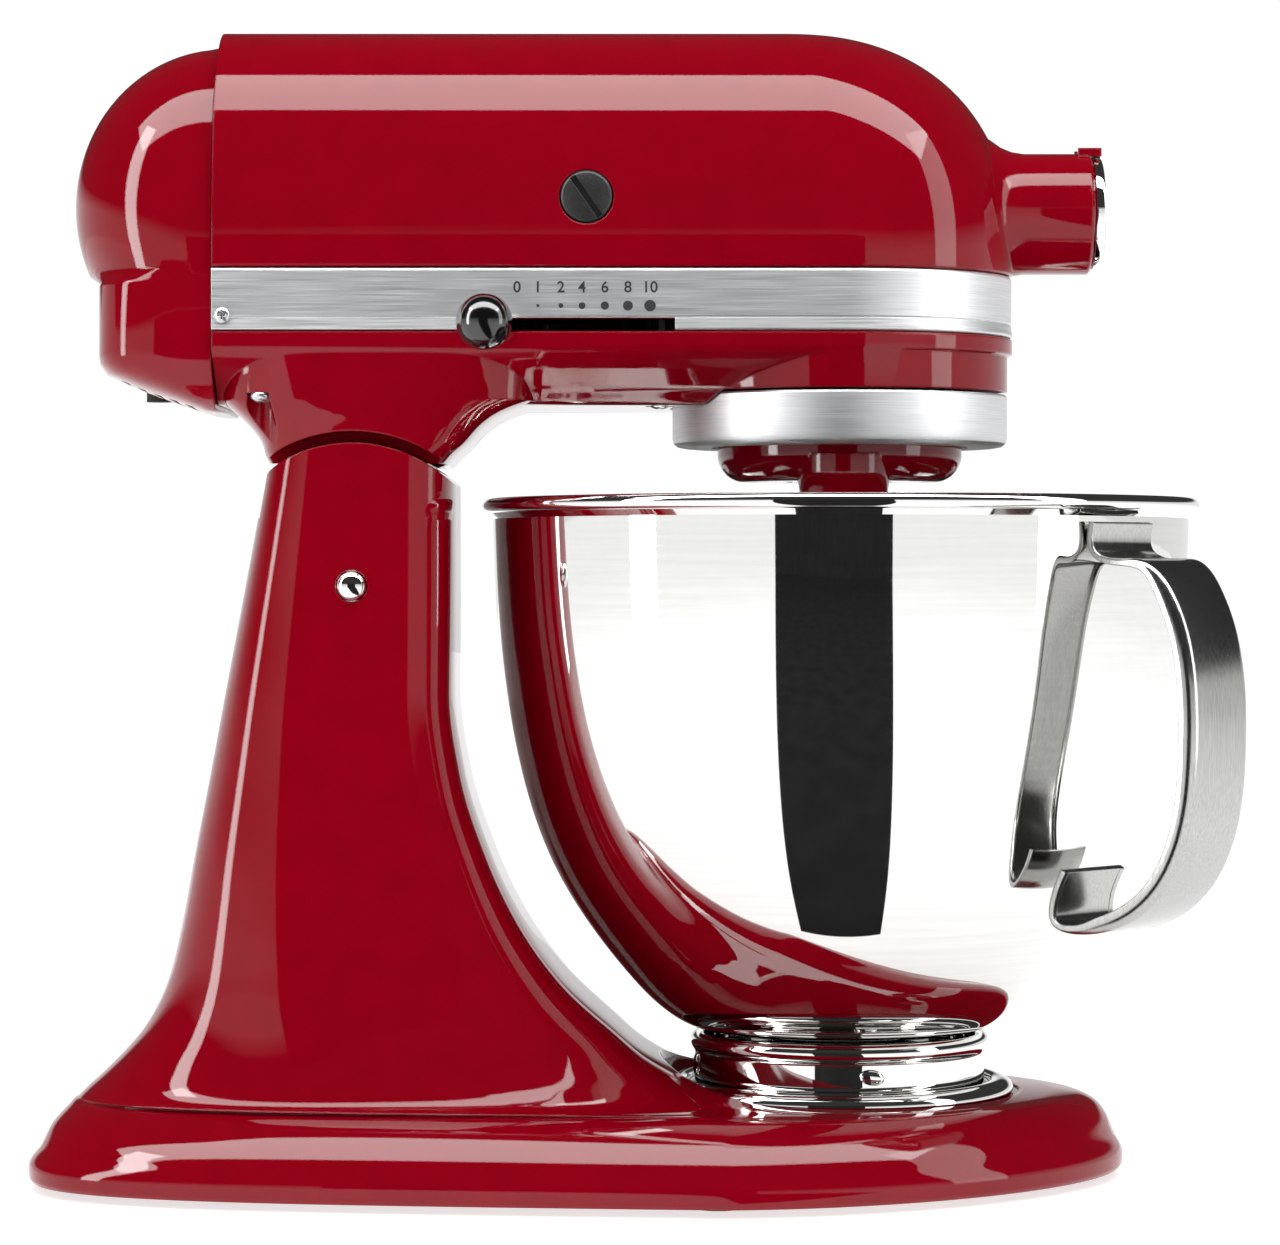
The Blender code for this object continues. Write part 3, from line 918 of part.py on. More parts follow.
def make_beater(planet, boss, hub_top, steel, brushed):
    beater = pivot("beater_spin", (boss[0], boss[1], PLANET_BOTTOM), planet)
    ring_top = GEARCASE_BOTTOM + 0.0042 - GAP
    low = PLANET_BOTTOM - 0.059
    shaft = solid("beater_shaft", rod(BEATER_SHAFT_RADIUS, low, ring_top - 0.001, centre=boss, steps=20), steel)
    pin_z = PLANET_BOTTOM - 0.032
    join(shaft, rod(0.002, -0.0095, 0.0095, "X", (boss[0], boss[1], pin_z), 12))
    outline = gear_outline(PINION_TEETH, GEAR_MODULE, phase=-math.pi / 2)
    pinion = prism(outline, hub_top + 0.0025, ring_top - 0.001, [circle(BEATER_SHAFT_RADIUS + GAP, 20)],
                   centre=boss)
    pinion = solid("beater_pinion", pinion, steel, 20)

    half = BEATER_HALF_WIDTH
    side = smooth_run([(0.008, 0.178), (half * 0.6, 0.169), (half * 0.93, 0.146), (half, 0.122),
                       (half * 0.92, 0.094), (half * 0.68, 0.069), (half * 0.34, 0.056), (0, 0.0535)], 2)
    outer = side + [(-x, z) for x, z in side[-2::-1]]
    upper = [(0.005, 0.160), (half * 0.50, 0.158), (half * 0.74, 0.142), (half * 0.83, 0.124),
             (half * 0.82, 0.116), (0.005, 0.108)]
    lower = [(0.005, 0.099), (half * 0.81, 0.1075), (half * 0.75, 0.095), (half * 0.56, 0.077),
             (half * 0.30, 0.066), (0.005, 0.0635)]
    holes = [upper, lower, [(-x, z) for x, z in upper], [(-x, z) for x, z in lower]]
    # The prism runs along Y, whose plane is given as (z, x).
    turned_round = [[(z, x) for x, z in loop] for loop in (outer, *holes)]
    thick = BEATER_THICKNESS / 2
    frame = prism(turned_round[0], -thick, thick, turned_round[1:], "Y", (boss[0], boss[1], 0))
    frame = solid("flat_beater", frame, brushed, 40)
    join(frame, rod(0.0105, low - 0.007, PLANET_BOTTOM - 0.024, centre=boss, steps=20))
    cut(frame, rod(BEATER_SHAFT_RADIUS + GAP, low - GAP, PLANET_BOTTOM, centre=boss, steps=20))
    cut(frame, rod(0.002 + GAP, -0.02, 0.02, "X", (boss[0], boss[1], pin_z), 12))
    hang(beater, shaft, pinion, frame)


# Bowl

def bowl_wall(steps=1):
    """Outer side of the bowl's wall from the bottom of its axis to the rim, as (radius, height)."""
    top = BOWL_RIM_Z
    low = BOWL_BOTTOM
    return smooth_run([
        (0.036, low), (0.046, low + 0.0018), (0.056, low + 0.0075), (BOWL_RADIUS * 0.611, low + 0.0172),
        (BOWL_RADIUS * 0.717, low + 0.0313), (BOWL_RADIUS * 0.821, low + 0.0493),
        (BOWL_RADIUS * 0.919, low + 0.0777), (BOWL_RADIUS * 0.965, top - 0.060),
        (BOWL_RADIUS * 0.992, top - 0.028), (BOWL_RADIUS, top - 0.004)], steps)


def handle_path():
    """Middle of the handle's strip, as (distance from the bowl's axis, height), from the upper tab down."""
    wall = BOWL_RADIUS + HANDLE_SHEET / 2 + 0.0006
    reach = HANDLE_REACH - HANDLE_SHEET / 2
    rim = BOWL_RIM_Z
    foot = BOWL_RADIUS * 0.835 + 0.0026
    return smooth_run([
        (wall, rim - 0.006), (wall, rim - 0.014), (wall + 0.0035, rim - 0.0165), (wall + 0.018, rim - 0.0180),
        (reach - 0.008, rim - 0.0270), (reach - 0.0015, rim - 0.045), (reach, rim - 0.072),
        (reach - 0.004, rim - 0.098), (reach - 0.015, rim - 0.1155), (reach - 0.032, rim - 0.1245),
        (foot + 0.012, rim - 0.1255), (foot + 0.0022, rim - 0.1225), (foot + 0.0022, rim - 0.1170),
        (foot + 0.0062, rim - 0.1080)], 2)


def make_bowl(chrome):
    axis = pivot("bowl_twist", (BOWL_X, 0, DECK_TOP))
    centre = (BOWL_X, 0, 0)
    wall = bowl_wall()
    outer = [(0, wall[0][1]), *[tuple(point) for point in wall]]
    bead_centre = (BOWL_RADIUS + 0.0010, BOWL_RIM_Z)
    bead = arc(BOWL_BEAD, math.radians(-80), math.radians(190), 6, bead_centre)
    inner = []
    for index in range(len(outer) - 1, 0, -1):
        before, after = Vector(outer[max(index - 1, 1)]), Vector(outer[min(index + 1, len(outer) - 1)])
        along = (after - before).normalized() if index > 1 else Vector((1, 0))
        inner.append((outer[index][0] - along.y * BOWL_WALL, outer[index][1] + along.x * BOWL_WALL))
    inner.append((0, outer[0][1] + BOWL_WALL))
    bowl = solid("bowl_shell", turned([*outer, *bead, *inner], centre=centre, steps=36), chrome)

    plate_floor = DECK_TOP - 0.0005 + GAP + PLATE_FLOOR
    low = plate_floor + GAP
    ring, thick = BOWL_FOOT_RADIUS, BOWL_FOOT_WALL
    top = BOWL_BOTTOM + 0.0006
    profile = [(ring - thick, low), (ring, low), (ring, top - 0.006), (ring + 0.0012, top - 0.0045),
               (ring + 0.0016, top - 0.003), (ring + 0.0010, top - 0.0012), (ring - 0.0004, top - 0.0004),
               (ring - thick - 0.0010, top - 0.0004), (ring - thick, top - 0.004)]
    foot = solid("bowl_foot", turned(profile, centre=centre, steps=32, closed=True), chrome)
    for number in range(4):
        turn = math.radians(-80 + 90 * number)
        bump = rod(0.0026, ring - 0.0008, ring + 0.0014, "X", (0, 0, low + 0.0062), 8)
        join(foot, placed(bump, Matrix.Translation(centre) @ Matrix.Rotation(turn, 4, "Z")))

    turn = Matrix.Translation(centre) @ Matrix.Rotation(HANDLE_AZIMUTH, 4, "Z")
    path = [Vector(point) for point in handle_path()]
    rings = []
    for index, point in enumerate(path):
        along = (path[min(index + 1, len(path) - 1)] - path[max(index - 1, 0)]).normalized()
        out = Vector((-along.y, along.x))
        share = min(1.0, max(0.0, (min(index, len(path) - 1 - index) - 4) / 4))
        lip = HANDLE_SHEET + (HANDLE_LIP - HANDLE_SHEET) * share
        half, sheet = HANDLE_WIDTH / 2, HANDLE_SHEET
        edge = 0.0022
        section = [(-half, sheet / 2), (half, sheet / 2), (half, sheet / 2 - lip), (half - edge, sheet / 2 - lip - 1e-5),
                   (half - edge, -sheet / 2), (edge - half, -sheet / 2), (edge - half, sheet / 2 - lip - 1e-5),
                   (-half, sheet / 2 - lip)]
        rings.append([(point.x + out.x * shift, across, point.y + out.y * shift) for across, shift in section])
    handle = solid("bowl_handle", placed(loft(rings), turn), chrome, 40)
    hang(axis, bowl, foot, handle)


def main():
    for thing in list(bpy.data.objects):
        bpy.data.objects.remove(thing)
    enamel, chrome, zinc = make_base()
    head, steel, bronze, black, brushed = make_head(enamel, zinc)
    make_controls(head, chrome, black)
    make_lock_lever(chrome, black)
    make_drive_train(head, enamel, steel, bronze, black, brushed)
    make_bowl(chrome)


main()
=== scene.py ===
# %% [markdown]
# # A tilt-head stand mixer
# The imported CAD model gives every piece its place, its size and its motion. This script keeps that frame
# and makes what the eye sees: the enamelled castings, the steel bowl, the trim band and the finishes.
# The frame is loaded first. Nothing visible may grow past it.

# %% Load the frame
import json
import math

import bmesh
import bpy
import numpy as np
from mathutils import Matrix, Vector


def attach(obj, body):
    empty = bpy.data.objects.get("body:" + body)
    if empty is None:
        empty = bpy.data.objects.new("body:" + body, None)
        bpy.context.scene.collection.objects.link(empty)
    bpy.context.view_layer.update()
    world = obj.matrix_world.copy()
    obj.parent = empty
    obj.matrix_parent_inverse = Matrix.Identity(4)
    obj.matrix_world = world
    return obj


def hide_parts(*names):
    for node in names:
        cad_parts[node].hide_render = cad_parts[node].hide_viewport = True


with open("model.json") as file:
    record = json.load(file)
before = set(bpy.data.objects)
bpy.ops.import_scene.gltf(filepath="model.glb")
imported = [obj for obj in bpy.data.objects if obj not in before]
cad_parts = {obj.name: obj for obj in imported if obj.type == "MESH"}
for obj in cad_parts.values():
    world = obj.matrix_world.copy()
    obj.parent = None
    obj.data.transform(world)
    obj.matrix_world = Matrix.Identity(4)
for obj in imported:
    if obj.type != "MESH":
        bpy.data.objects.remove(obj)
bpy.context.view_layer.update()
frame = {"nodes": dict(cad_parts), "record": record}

nodes = frame["nodes"]

# %% [markdown]
# ## Finishes
# A colour picked on a screen is sRGB, while a shader adds light, so each hex value is turned to linear once,
# here. A node is added with its settings and its links by one small function, so that each finish below
# reads as a list of what it is made of.

# %% Colours and nodes
def linear(hex_colour):
    """A linear RGBA colour from an sRGB hex value."""
    parts = [int(hex_colour[start:start + 2], 16) / 255 for start in (0, 2, 4)]
    return (*[part / 12.92 if part <= 0.04045 else ((part + 0.055) / 1.055) ** 2.4 for part in parts], 1.0)


def add(tree, kind, settings=None, **inputs):
    """A node with its settings. An input is a number, a colour or another node's output."""
    node = tree.nodes.new(kind)
    for name, value in (settings or {}).items():
        setattr(node, name, value)
    for name, value in inputs.items():
        socket = node.inputs[int(name[1:])] if name[0] == "_" else node.inputs[name.replace("_", " ")]
        if isinstance(value, bpy.types.NodeSocket):
            tree.links.new(value, socket)
        else:
            socket.default_value = value
    return node


def finish(name, **constants):
    """A material whose Principled shader has these constants. Returns it with its tree, shader and place."""
    material = bpy.data.materials.new(name)
    material.use_nodes = True
    tree = material.node_tree
    shader = tree.nodes["Principled BSDF"]
    for socket, value in constants.items():
        shader.inputs[socket.replace("_", " ")].default_value = value
    place = add(tree, "ShaderNodeTexCoord").outputs["Object"]
    return material, tree, shader, place


def grain(tree, place, size, stretch=(1, 1, 1), detail=2.0):
    """Noise whose features are size metres across, times stretch along each axis."""
    scale = [1 / (size * factor) for factor in stretch]
    turned_place = add(tree, "ShaderNodeMapping", Vector=place, Scale=scale)
    return add(
        tree, "ShaderNodeTexNoise", Vector=turned_place.outputs[0], Scale=1.0, Detail=detail,
    ).outputs["Fac"]


def spread(tree, value, low, high, start=0.3, end=0.7):
    """value, from start to end, becomes low to high."""
    return add(tree, "ShaderNodeMapRange", _0=value, _1=start, _2=end, _3=low, _4=high).outputs[0]


def tint(tree, value, dark, light):
    """A colour between two hex values."""
    ramp = add(tree, "ShaderNodeValToRGB", Fac=value)
    ramp.color_ramp.elements[0].position, ramp.color_ramp.elements[0].color = 0.3, linear(dark)
    ramp.color_ramp.elements[1].position, ramp.color_ramp.elements[1].color = 0.7, linear(light)
    return ramp.outputs[0]


def relief(tree, shader, height, depth, rounding=0.0):
    """Bump of that depth in metres on the shader, over edges that look rounded by rounding metres."""
    bump = add(tree, "ShaderNodeBump", Height=height, Distance=depth, Strength=1.0)
    if rounding:
        tree.links.new(
            add(tree, "ShaderNodeBevel", {"samples": 4}, Radius=rounding).outputs[0], bump.inputs["Normal"],
        )
    tree.links.new(bump.outputs[0], shader.inputs["Normal"])


print("helpers for finishes ready")

# %% [markdown]
# ### Red enamel
# The castings are die-cast zinc under a baked enamel. Enamel flows before it sets, so it is glassy, it
# pools thin on edges, and it keeps a very faint orange peel about 3 mm across. A clear coat over a deep red
# gives the sharp reflections, and the Bevel node gives the flowed edges.

# %% Red enamel
enamel, tree, shader, place = finish("baked_red_enamel", Roughness=0.5, Specular_IOR_Level=0.0,
                                     Coat_Weight=1.0, Coat_Roughness=0.015, Coat_IOR=1.42)
mottle = grain(tree, place, 0.011, detail=3.0)
tree.links.new(tint(tree, mottle, "840013", "8A0015"), shader.inputs["Base Color"])
relief(tree, shader, grain(tree, place, 0.0034, detail=1.0), 0.0000022, rounding=0.0009)
bevel = next(node for node in tree.nodes if node.bl_idname == "ShaderNodeBevel")
tree.links.new(bevel.outputs[0], shader.inputs["Coat Normal"])
print(enamel.name)

# %% [markdown]
# ### Steel and aluminium
# The bowl is spun from stainless steel and buffed to a mirror, with faint rings from the buffing wheel. The
# handle keeps a satin grain. The band and the drip ring are brushed aluminium, whose scratches run level
# round the machine, so their noise is stretched level and squeezed upright. Real scratches are about 0.05
# mm apart; they are drawn at 0.3 mm, or they wouldn't show.

# %% Polished, satin and brushed metals
polished, tree, shader, place = finish("buffed_stainless_steel", Metallic=1.0)
rings = grain(tree, place, 0.0012, (40, 40, 1))
tree.links.new(tint(tree, rings, "E0E0DE", "E6E6E4"), shader.inputs["Base Color"])
tree.links.new(spread(tree, rings, 0.018, 0.034), shader.inputs["Roughness"])
relief(tree, shader, rings, 0.0000003)

satin, tree, shader, place = finish("satin_stainless_steel", Metallic=1.0)
hairs = grain(tree, place, 0.0003, (1, 1, 30), 3.0)
tree.links.new(tint(tree, hairs, "A6A6A4", "BDBDBB"), shader.inputs["Base Color"])
tree.links.new(spread(tree, hairs, 0.14, 0.21), shader.inputs["Roughness"])
relief(tree, shader, hairs, 0.000002, rounding=0.0006)

brushed, tree, shader, place = finish("brushed_aluminium", Metallic=1.0)
scratches = grain(tree, place, 0.0003, (90, 90, 1), 3.0)
tree.links.new(tint(tree, scratches, "D3D5D7", "ECEDEE"), shader.inputs["Base Color"])
tree.links.new(spread(tree, scratches, 0.40, 0.52), shader.inputs["Roughness"])
relief(tree, shader, scratches, 0.000008, rounding=0.0003)

cast, tree, shader, place = finish("burnished_cast_aluminium", Metallic=1.0)
pits = grain(tree, place, 0.0012, detail=5.0)
tree.links.new(tint(tree, pits, "A4A6A6", "C6C8C8"), shader.inputs["Base Color"])
tree.links.new(spread(tree, pits, 0.30, 0.48), shader.inputs["Roughness"])
relief(tree, shader, pits, 0.00003, rounding=0.0008)

zinc, tree, shader, place = finish("bright_zinc_plate", Metallic=1.0)
spangle = grain(tree, place, 0.0007, detail=4.0)
tree.links.new(tint(tree, spangle, "B9BABD", "DADBDD"), shader.inputs["Base Color"])
tree.links.new(spread(tree, spangle, 0.18, 0.34), shader.inputs["Roughness"])
relief(tree, shader, spangle, 0.00001, rounding=0.0003)

machined, tree, shader, place = finish("turned_carbon_steel", Metallic=1.0)
cuts = grain(tree, place, 0.0004, (25, 1, 25), 3.0)
tree.links.new(tint(tree, cuts, "77787A", "9B9C9E"), shader.inputs["Base Color"])
tree.links.new(spread(tree, cuts, 0.25, 0.42), shader.inputs["Roughness"])
relief(tree, shader, cuts, 0.000012, rounding=0.0003)
print("metals:", [material.name for material in (polished, satin, brushed, cast, zinc, machined)])

# %% [markdown]
# ### Bronze, copper, plastics, rubber and board
# What is inside keeps its own finish, so that it also reads in an exploded view: oil-bronze for the
# bushings and the worm wheel, phenolic for the brush caps, glossy phenolic for the knobs, and moulded
# rubber for the feet.

# %% The other finishes
bronze, tree, shader, place = finish("oil_bronze", Metallic=1.0)
pores = grain(tree, place, 0.0006, detail=5.0)
tree.links.new(tint(tree, pores, "7E5A2C", "B08448"), shader.inputs["Base Color"])
tree.links.new(spread(tree, pores, 0.28, 0.45), shader.inputs["Roughness"])
relief(tree, shader, pores, 0.00001, rounding=0.0003)

copper, tree, shader, place = finish("commutator_copper", Metallic=1.0)
wear = grain(tree, place, 0.0004, (1, 20, 20), 3.0)
tree.links.new(tint(tree, wear, "8F4A2B", "C77B52"), shader.inputs["Base Color"])
tree.links.new(spread(tree, wear, 0.22, 0.38), shader.inputs["Roughness"])

knob_black, tree, shader, place = finish("glossy_phenolic", Coat_Weight=0.6, Coat_Roughness=0.03, IOR=1.6)
flow = grain(tree, place, 0.004, detail=2.0)
tree.links.new(tint(tree, flow, "070708", "0D0D0E"), shader.inputs["Base Color"])
tree.links.new(spread(tree, flow, 0.10, 0.16), shader.inputs["Roughness"])
relief(tree, shader, flow, 0.000004, rounding=0.0004)

cap_black, tree, shader, place = finish("satin_phenolic", IOR=1.55)
texture = grain(tree, place, 0.0006, detail=3.0)
tree.links.new(tint(tree, texture, "1A1A1B", "242425"), shader.inputs["Base Color"])
tree.links.new(spread(tree, texture, 0.34, 0.46), shader.inputs["Roughness"])
relief(tree, shader, texture, 0.00001, rounding=0.0004)

rubber, tree, shader, place = finish("moulded_rubber", IOR=1.52)
bloom = grain(tree, place, 0.0009, detail=4.0)
tree.links.new(tint(tree, bloom, "181818", "262625"), shader.inputs["Base Color"])
tree.links.new(spread(tree, bloom, 0.7, 0.9), shader.inputs["Roughness"])
relief(tree, shader, bloom, 0.00003)

carbon, tree, shader, place = finish("pressed_carbon")
dust = grain(tree, place, 0.0004, detail=4.0)
tree.links.new(tint(tree, dust, "121213", "262628"), shader.inputs["Base Color"])
tree.links.new(spread(tree, dust, 0.55, 0.75), shader.inputs["Roughness"])

board, tree, shader, place = finish("glass_epoxy_board", Roughness=0.4)
weave = add(
    tree, "ShaderNodeTexVoronoi", {"distance": "CHEBYCHEV"}, Vector=place, Scale=380.0,
).outputs["Distance"]
tree.links.new(tint(tree, weave, "0E4A22", "1B6B34"), shader.inputs["Base Color"])
relief(tree, shader, weave, 0.00003)

ink, tree, shader, place = finish("screen_printed_ink", Roughness=0.5)
tree.links.new(tint(tree, grain(tree, place, 0.0005), "2A2A2D", "343438"), shader.inputs["Base Color"])

PAINT = {"red_enamel": enamel, "polished_steel": polished, "satin_steel": satin, "brushed_aluminium": brushed,
         "zinc_screws": zinc, "machined_steel": machined, "bronze": bronze, "black_plastic": knob_black,
         "carbon": carbon, "circuit_board": board, "foot_rubber": rubber}
OWN_FINISH = {"commutator": copper, "flat_beater": cast, "cord_gland": rubber, "cooling_fan": cap_black,
              "brush_holder_left": cap_black, "brush_holder_right": cap_black}
for subpart in frame["record"]["subparts"]:
    material = OWN_FINISH.get(subpart["node"], PAINT[subpart["material_slot"]])
    for held in nodes[subpart["node"]].material_slots:
        held.material = material
print(len(nodes), "CAD nodes have a finish")

# %% [markdown]
# ## Shapes from outlines
# Most of the machine is smooth in two ways at once: an outline in plan that changes with height, or a
# profile turned about an axis. So two helpers do most of the work. One bridges rings of points, and one
# turns a profile. A spline through a few measured stations gives many rows without a kink, which a mirror
# finish would show.

# %% Rows, rings and turned shapes
AXES = {"X": lambda a, b, along: (along, a, b), "Y": lambda a, b, along: (b, along, a),
        "Z": lambda a, b, along: (a, b, along)}


def spline(stations, steps, measured=None):
    """Rows through the stations on a natural cubic, steps to a span. The first columns measure the spans."""
    rows = np.array(stations, float)
    spans = np.linalg.norm(np.diff(rows[:, :measured], axis=0), axis=1)
    system, right = np.eye(len(rows)), np.zeros_like(rows)
    for i in range(1, len(rows) - 1):
        system[i, i - 1:i + 2] = spans[i - 1], 2 * (spans[i - 1] + spans[i]), spans[i]
        right[i] = 6 * ((rows[i + 1] - rows[i]) / spans[i] - (rows[i] - rows[i - 1]) / spans[i - 1])
    bend = np.linalg.solve(system, right)
    found = [rows[0]]
    for i, span in enumerate(spans):
        for step in range(1, steps + 1):
            u, w = step / steps, 1 - step / steps
            found.append(w * rows[i] + u * rows[i + 1]
                         + span ** 2 / 6 * ((w ** 3 - w) * bend[i] + (u ** 3 - u) * bend[i + 1]))
    return found


def steady(stations, steps, measured):
    """Rows through the stations on a cubic that never passes a station's value and comes back."""
    rows = np.array(stations, float)
    spans = np.linalg.norm(np.diff(rows[:, :measured], axis=0), axis=1)
    slopes = np.diff(rows, axis=0) / spans[:, None]
    before, after = slopes[:-1], slopes[1:]
    total = np.where(before * after > 0, before + after, 1.0)
    inside = np.where(before * after > 0, 2 * before * after / total, 0.0)
    lean = np.vstack([slopes[:1], inside, slopes[-1:]])
    found = [rows[0]]
    for i, span in enumerate(spans):
        for step in range(1, steps + 1):
            u = step / steps
            found.append((2 * u ** 3 - 3 * u ** 2 + 1) * rows[i] + (u ** 3 - 2 * u ** 2 + u) * span * lean[i]
                         + (3 * u ** 2 - 2 * u ** 3) * rows[i + 1] + (u ** 3 - u ** 2) * span * lean[i + 1])
    return found


def arc(radius, start, end, count, centre=(0.0, 0.0)):
    """Points on an arc, from start to end in degrees, both included."""
    turns = [math.radians(start + (end - start) * step / count) for step in range(count + 1)]
    return [(centre[0] + radius * math.cos(turn), centre[1] + radius * math.sin(turn)) for turn in turns]


def rounded(profile, radius, steps=5):
    """The profile's inner corners, each cut back to an arc of about that radius."""
    points = [Vector(point) for point in profile]
    found = [tuple(points[0])]
    for before, corner, after in zip(points, points[1:], points[2:]):
        reach = min(radius, (corner - before).length * 0.45, (after - corner).length * 0.45)
        start = corner + (before - corner).normalized() * reach
        end = corner + (after - corner).normalized() * reach
        for step in range(steps + 1):
            u = step / steps
            found.append(tuple((1 - u) ** 2 * start + 2 * u * (1 - u) * corner + u ** 2 * end))
    return [*found, tuple(points[-1])]


def loft(rings, closed=False):
    """Rings of equal count, bridged. The ends are capped, or the last ring meets the first."""
    bm = bmesh.new()
    rows = [[bm.verts.new(point) for point in ring] for ring in rings]
    for low, high in zip(rows, rows[1:] + rows[:1] if closed else rows[1:]):
        for i in range(len(low)):
            after = (i + 1) % len(low)
            bm.faces.new((low[i], low[after], high[after], high[i]))
    if not closed:
        bm.faces.new(rows[0])
        bm.faces.new(rows[-1])
    return bm


def turned(profile, axis="Z", centre=(0.0, 0.0, 0.0), steps=96, closed=False, lobes=0, depth=0.0):
    """(radius, height) points turned about an axis, with shallow lobes round it where asked."""
    rings = []
    for radius, height in profile:
        ring = []
        for step in range(steps):
            turn = 2 * math.pi * step / steps
            reach = max(radius, 1e-6) * (1 - depth * (0.5 - 0.5 * math.cos(lobes * turn)))
            ring.append(
                Vector(AXES[axis](reach * math.cos(turn), reach * math.sin(turn), height)) + Vector(centre)
            )
        rings.append(ring)
    return loft(rings, closed)


def rod(radius, start, end, axis="Z", centre=(0.0, 0.0, 0.0), steps=64):
    return turned([(radius, start), (radius, end)], axis, centre, steps)


def block(low, high):
    bm = bmesh.new()
    bmesh.ops.create_cube(bm, size=1.0)
    middle, size = (Vector(high) + Vector(low)) / 2, Vector(high) - Vector(low)
    bmesh.ops.transform(bm, matrix=Matrix.Translation(middle) @ Matrix.Diagonal((*size, 1)), verts=bm.verts)
    return bm


def placed(bm, matrix):
    bmesh.ops.transform(bm, matrix=matrix, verts=bm.verts)
    return bm


def mesh_object(name, bm):
    bmesh.ops.recalc_face_normals(bm, faces=bm.faces)
    mesh = bpy.data.meshes.new(name)
    bm.to_mesh(mesh)
    bm.free()
    made = bpy.data.objects.new(name, mesh)
    bpy.context.scene.collection.objects.link(made)
    return made


def worked(bm, *steps):
    """bm after Boolean steps, each ("DIFFERENCE" or "UNION", tool)."""
    blank = mesh_object("blank", bm)
    tools = []
    for operation, tool in steps:
        tools.append(mesh_object("tool", tool))
        change = blank.modifiers.new("step", "BOOLEAN")
        change.operation, change.solver, change.object = operation, "EXACT", tools[-1]
    result = bmesh.new()
    result.from_object(blank, bpy.context.evaluated_depsgraph_get())
    for helper in (blank, *tools):
        bpy.data.meshes.remove(helper.data)
    return result


def cut(tool):
    return "DIFFERENCE", tool


def join(tool):
    return "UNION", tool


def piece(name, bm, material, body, slot, *stands_for, sharp=35):
    """A finished piece: smooth except across sharp edges, riding on its body, in place of these CAD nodes."""
    made = mesh_object(name, bm)
    made.data.shade_smooth()
    made.data.set_sharp_from_angle(angle=math.radians(sharp))
    made.data.materials.append(material)
    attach(made, body)
    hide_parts(*stands_for)
    print(f"{name}: {len(made.data.polygons)} faces for {', '.join(stands_for) or 'no CAD node'}")
    return made


# %% [markdown]
# ## Base and pedestal
# The real base is one casting: a wide foot that flows up into the pedestal. Each level is an oval whose
# front and rear halves have their own squareness, because the toe is pointed while the heel is broad. The
# stations below are measured levels. After that the casting is machined, as the real one is: a round seat
# for the bowl's plate, a slot between two cheeks for the head's lug, a bore for the pin, and a hollow
# underneath.

# %% Base casting
PIN_X, PIN_Z = -0.0805, 0.1827
SADDLE = 0.0431                 # radius about the pin of the top of the pedestal
DECK = 0.0264
BASE_LOW = 0.0025
LUG_HALF = 0.034                # half width of the slot between the cheeks
WEB = 0.158                     # floor of that slot
BOWL_X = 0.068
PLATE_RADIUS = 0.054


def base_levels():
    """Height, rear, front, widest x, half width, taper, front power and rear power."""
    rear, front, middle, wide = -0.1806, 0.1562, 0.029, 0.0977
    column, back, half = -0.0505, -0.1058, 0.0462
    toe = [(BASE_LOW, rear + 0.0012, front - 0.0012, middle, wide - 0.0011, 0.19, 1.75, 4.6),
           (BASE_LOW + 0.0015, rear + 0.0002, front - 0.0002, middle, wide - 0.0002, 0.19, 1.75, 4.6),
           (BASE_LOW + 0.0045, rear, front, middle, wide, 0.19, 1.75, 4.6),
           (BASE_LOW + 0.0105, rear + 0.0036, front - 0.0026, middle, wide - 0.0020, 0.19, 1.75, 4.5),
           (DECK - 0.0074, rear + 0.0066, front - 0.0052, middle, wide - 0.0067, 0.19, 1.78, 4.4),
           (DECK - 0.0029, rear + 0.0106, front - 0.0092, middle, wide - 0.0122, 0.18, 1.8, 4.2),
           (DECK - 0.0007, rear + 0.0128, front - 0.0148, middle, wide - 0.0177, 0.17, 1.85, 4.1),
           (DECK - 0.0002, rear + 0.0136, front - 0.0222, middle - 0.002, wide - 0.0222, 0.16, 1.9, 4.0)]
    rise = [
        (0.0006, 0.0144, 0.1145, -0.049, 0.0263, 0.10, 2.2, 3.6),
        (0.0026, 0.0164, 0.0925, -0.064, 0.0226, 0.08, 2.6, 3.4),
        (0.0066, 0.0208, 0.0725, -0.077, 0.0193, 0.06, 3.0, 3.2),
        (0.0126, 0.0268, 0.0600, -0.087, 0.0168, 0.04, 3.4, 3.1),
    ]
    for lift, heel, reach, shift, flare, taper, front_power, rear_power in rise:
        toe.append(
            (
                DECK + lift, rear + heel, column + reach, middle + shift, half + flare, taper, front_power,
                rear_power,
            )
        )
    stem = [
        (0.0216, 0.0405, 0.0490, -0.095, 0.0145, 0.02, 3.8, 3.2),
        (0.0356, 0.0335, 0.0340, -0.101, 0.0122, 0.0, 4.2, 3.4),
        (0.0536, 0.0289, 0.0210, -0.105, 0.0100, 0.0, 4.6, 3.6),
        (0.0736, 0.0251, 0.0113, -0.107, 0.0078, 0.0, 5.0, 3.8),
        (0.0986, 0.0201, 0.0033, -0.109, 0.0054, 0.0, 5.0, 4.0),
        (0.1236, 0.0153, -0.0001, -0.110, 0.0035, 0.0, 5.0, 4.2),
        (PIN_Z - DECK, 0.0090, 0.0, -0.110, 0.0016, 0.0, 5.0, 4.4),
        (PIN_Z + SADDLE + 0.005 - DECK, 0.0, 0.0, -0.110, 0.0, 0.0, 5.0, 4.6),
    ]
    for lift, heel, reach, shift, flare, taper, front_power, rear_power in stem:
        toe.append(
            (
                DECK + lift, back - heel, column + reach, middle + shift, half + flare, taper, front_power,
                rear_power,
            )
        )
    return toe


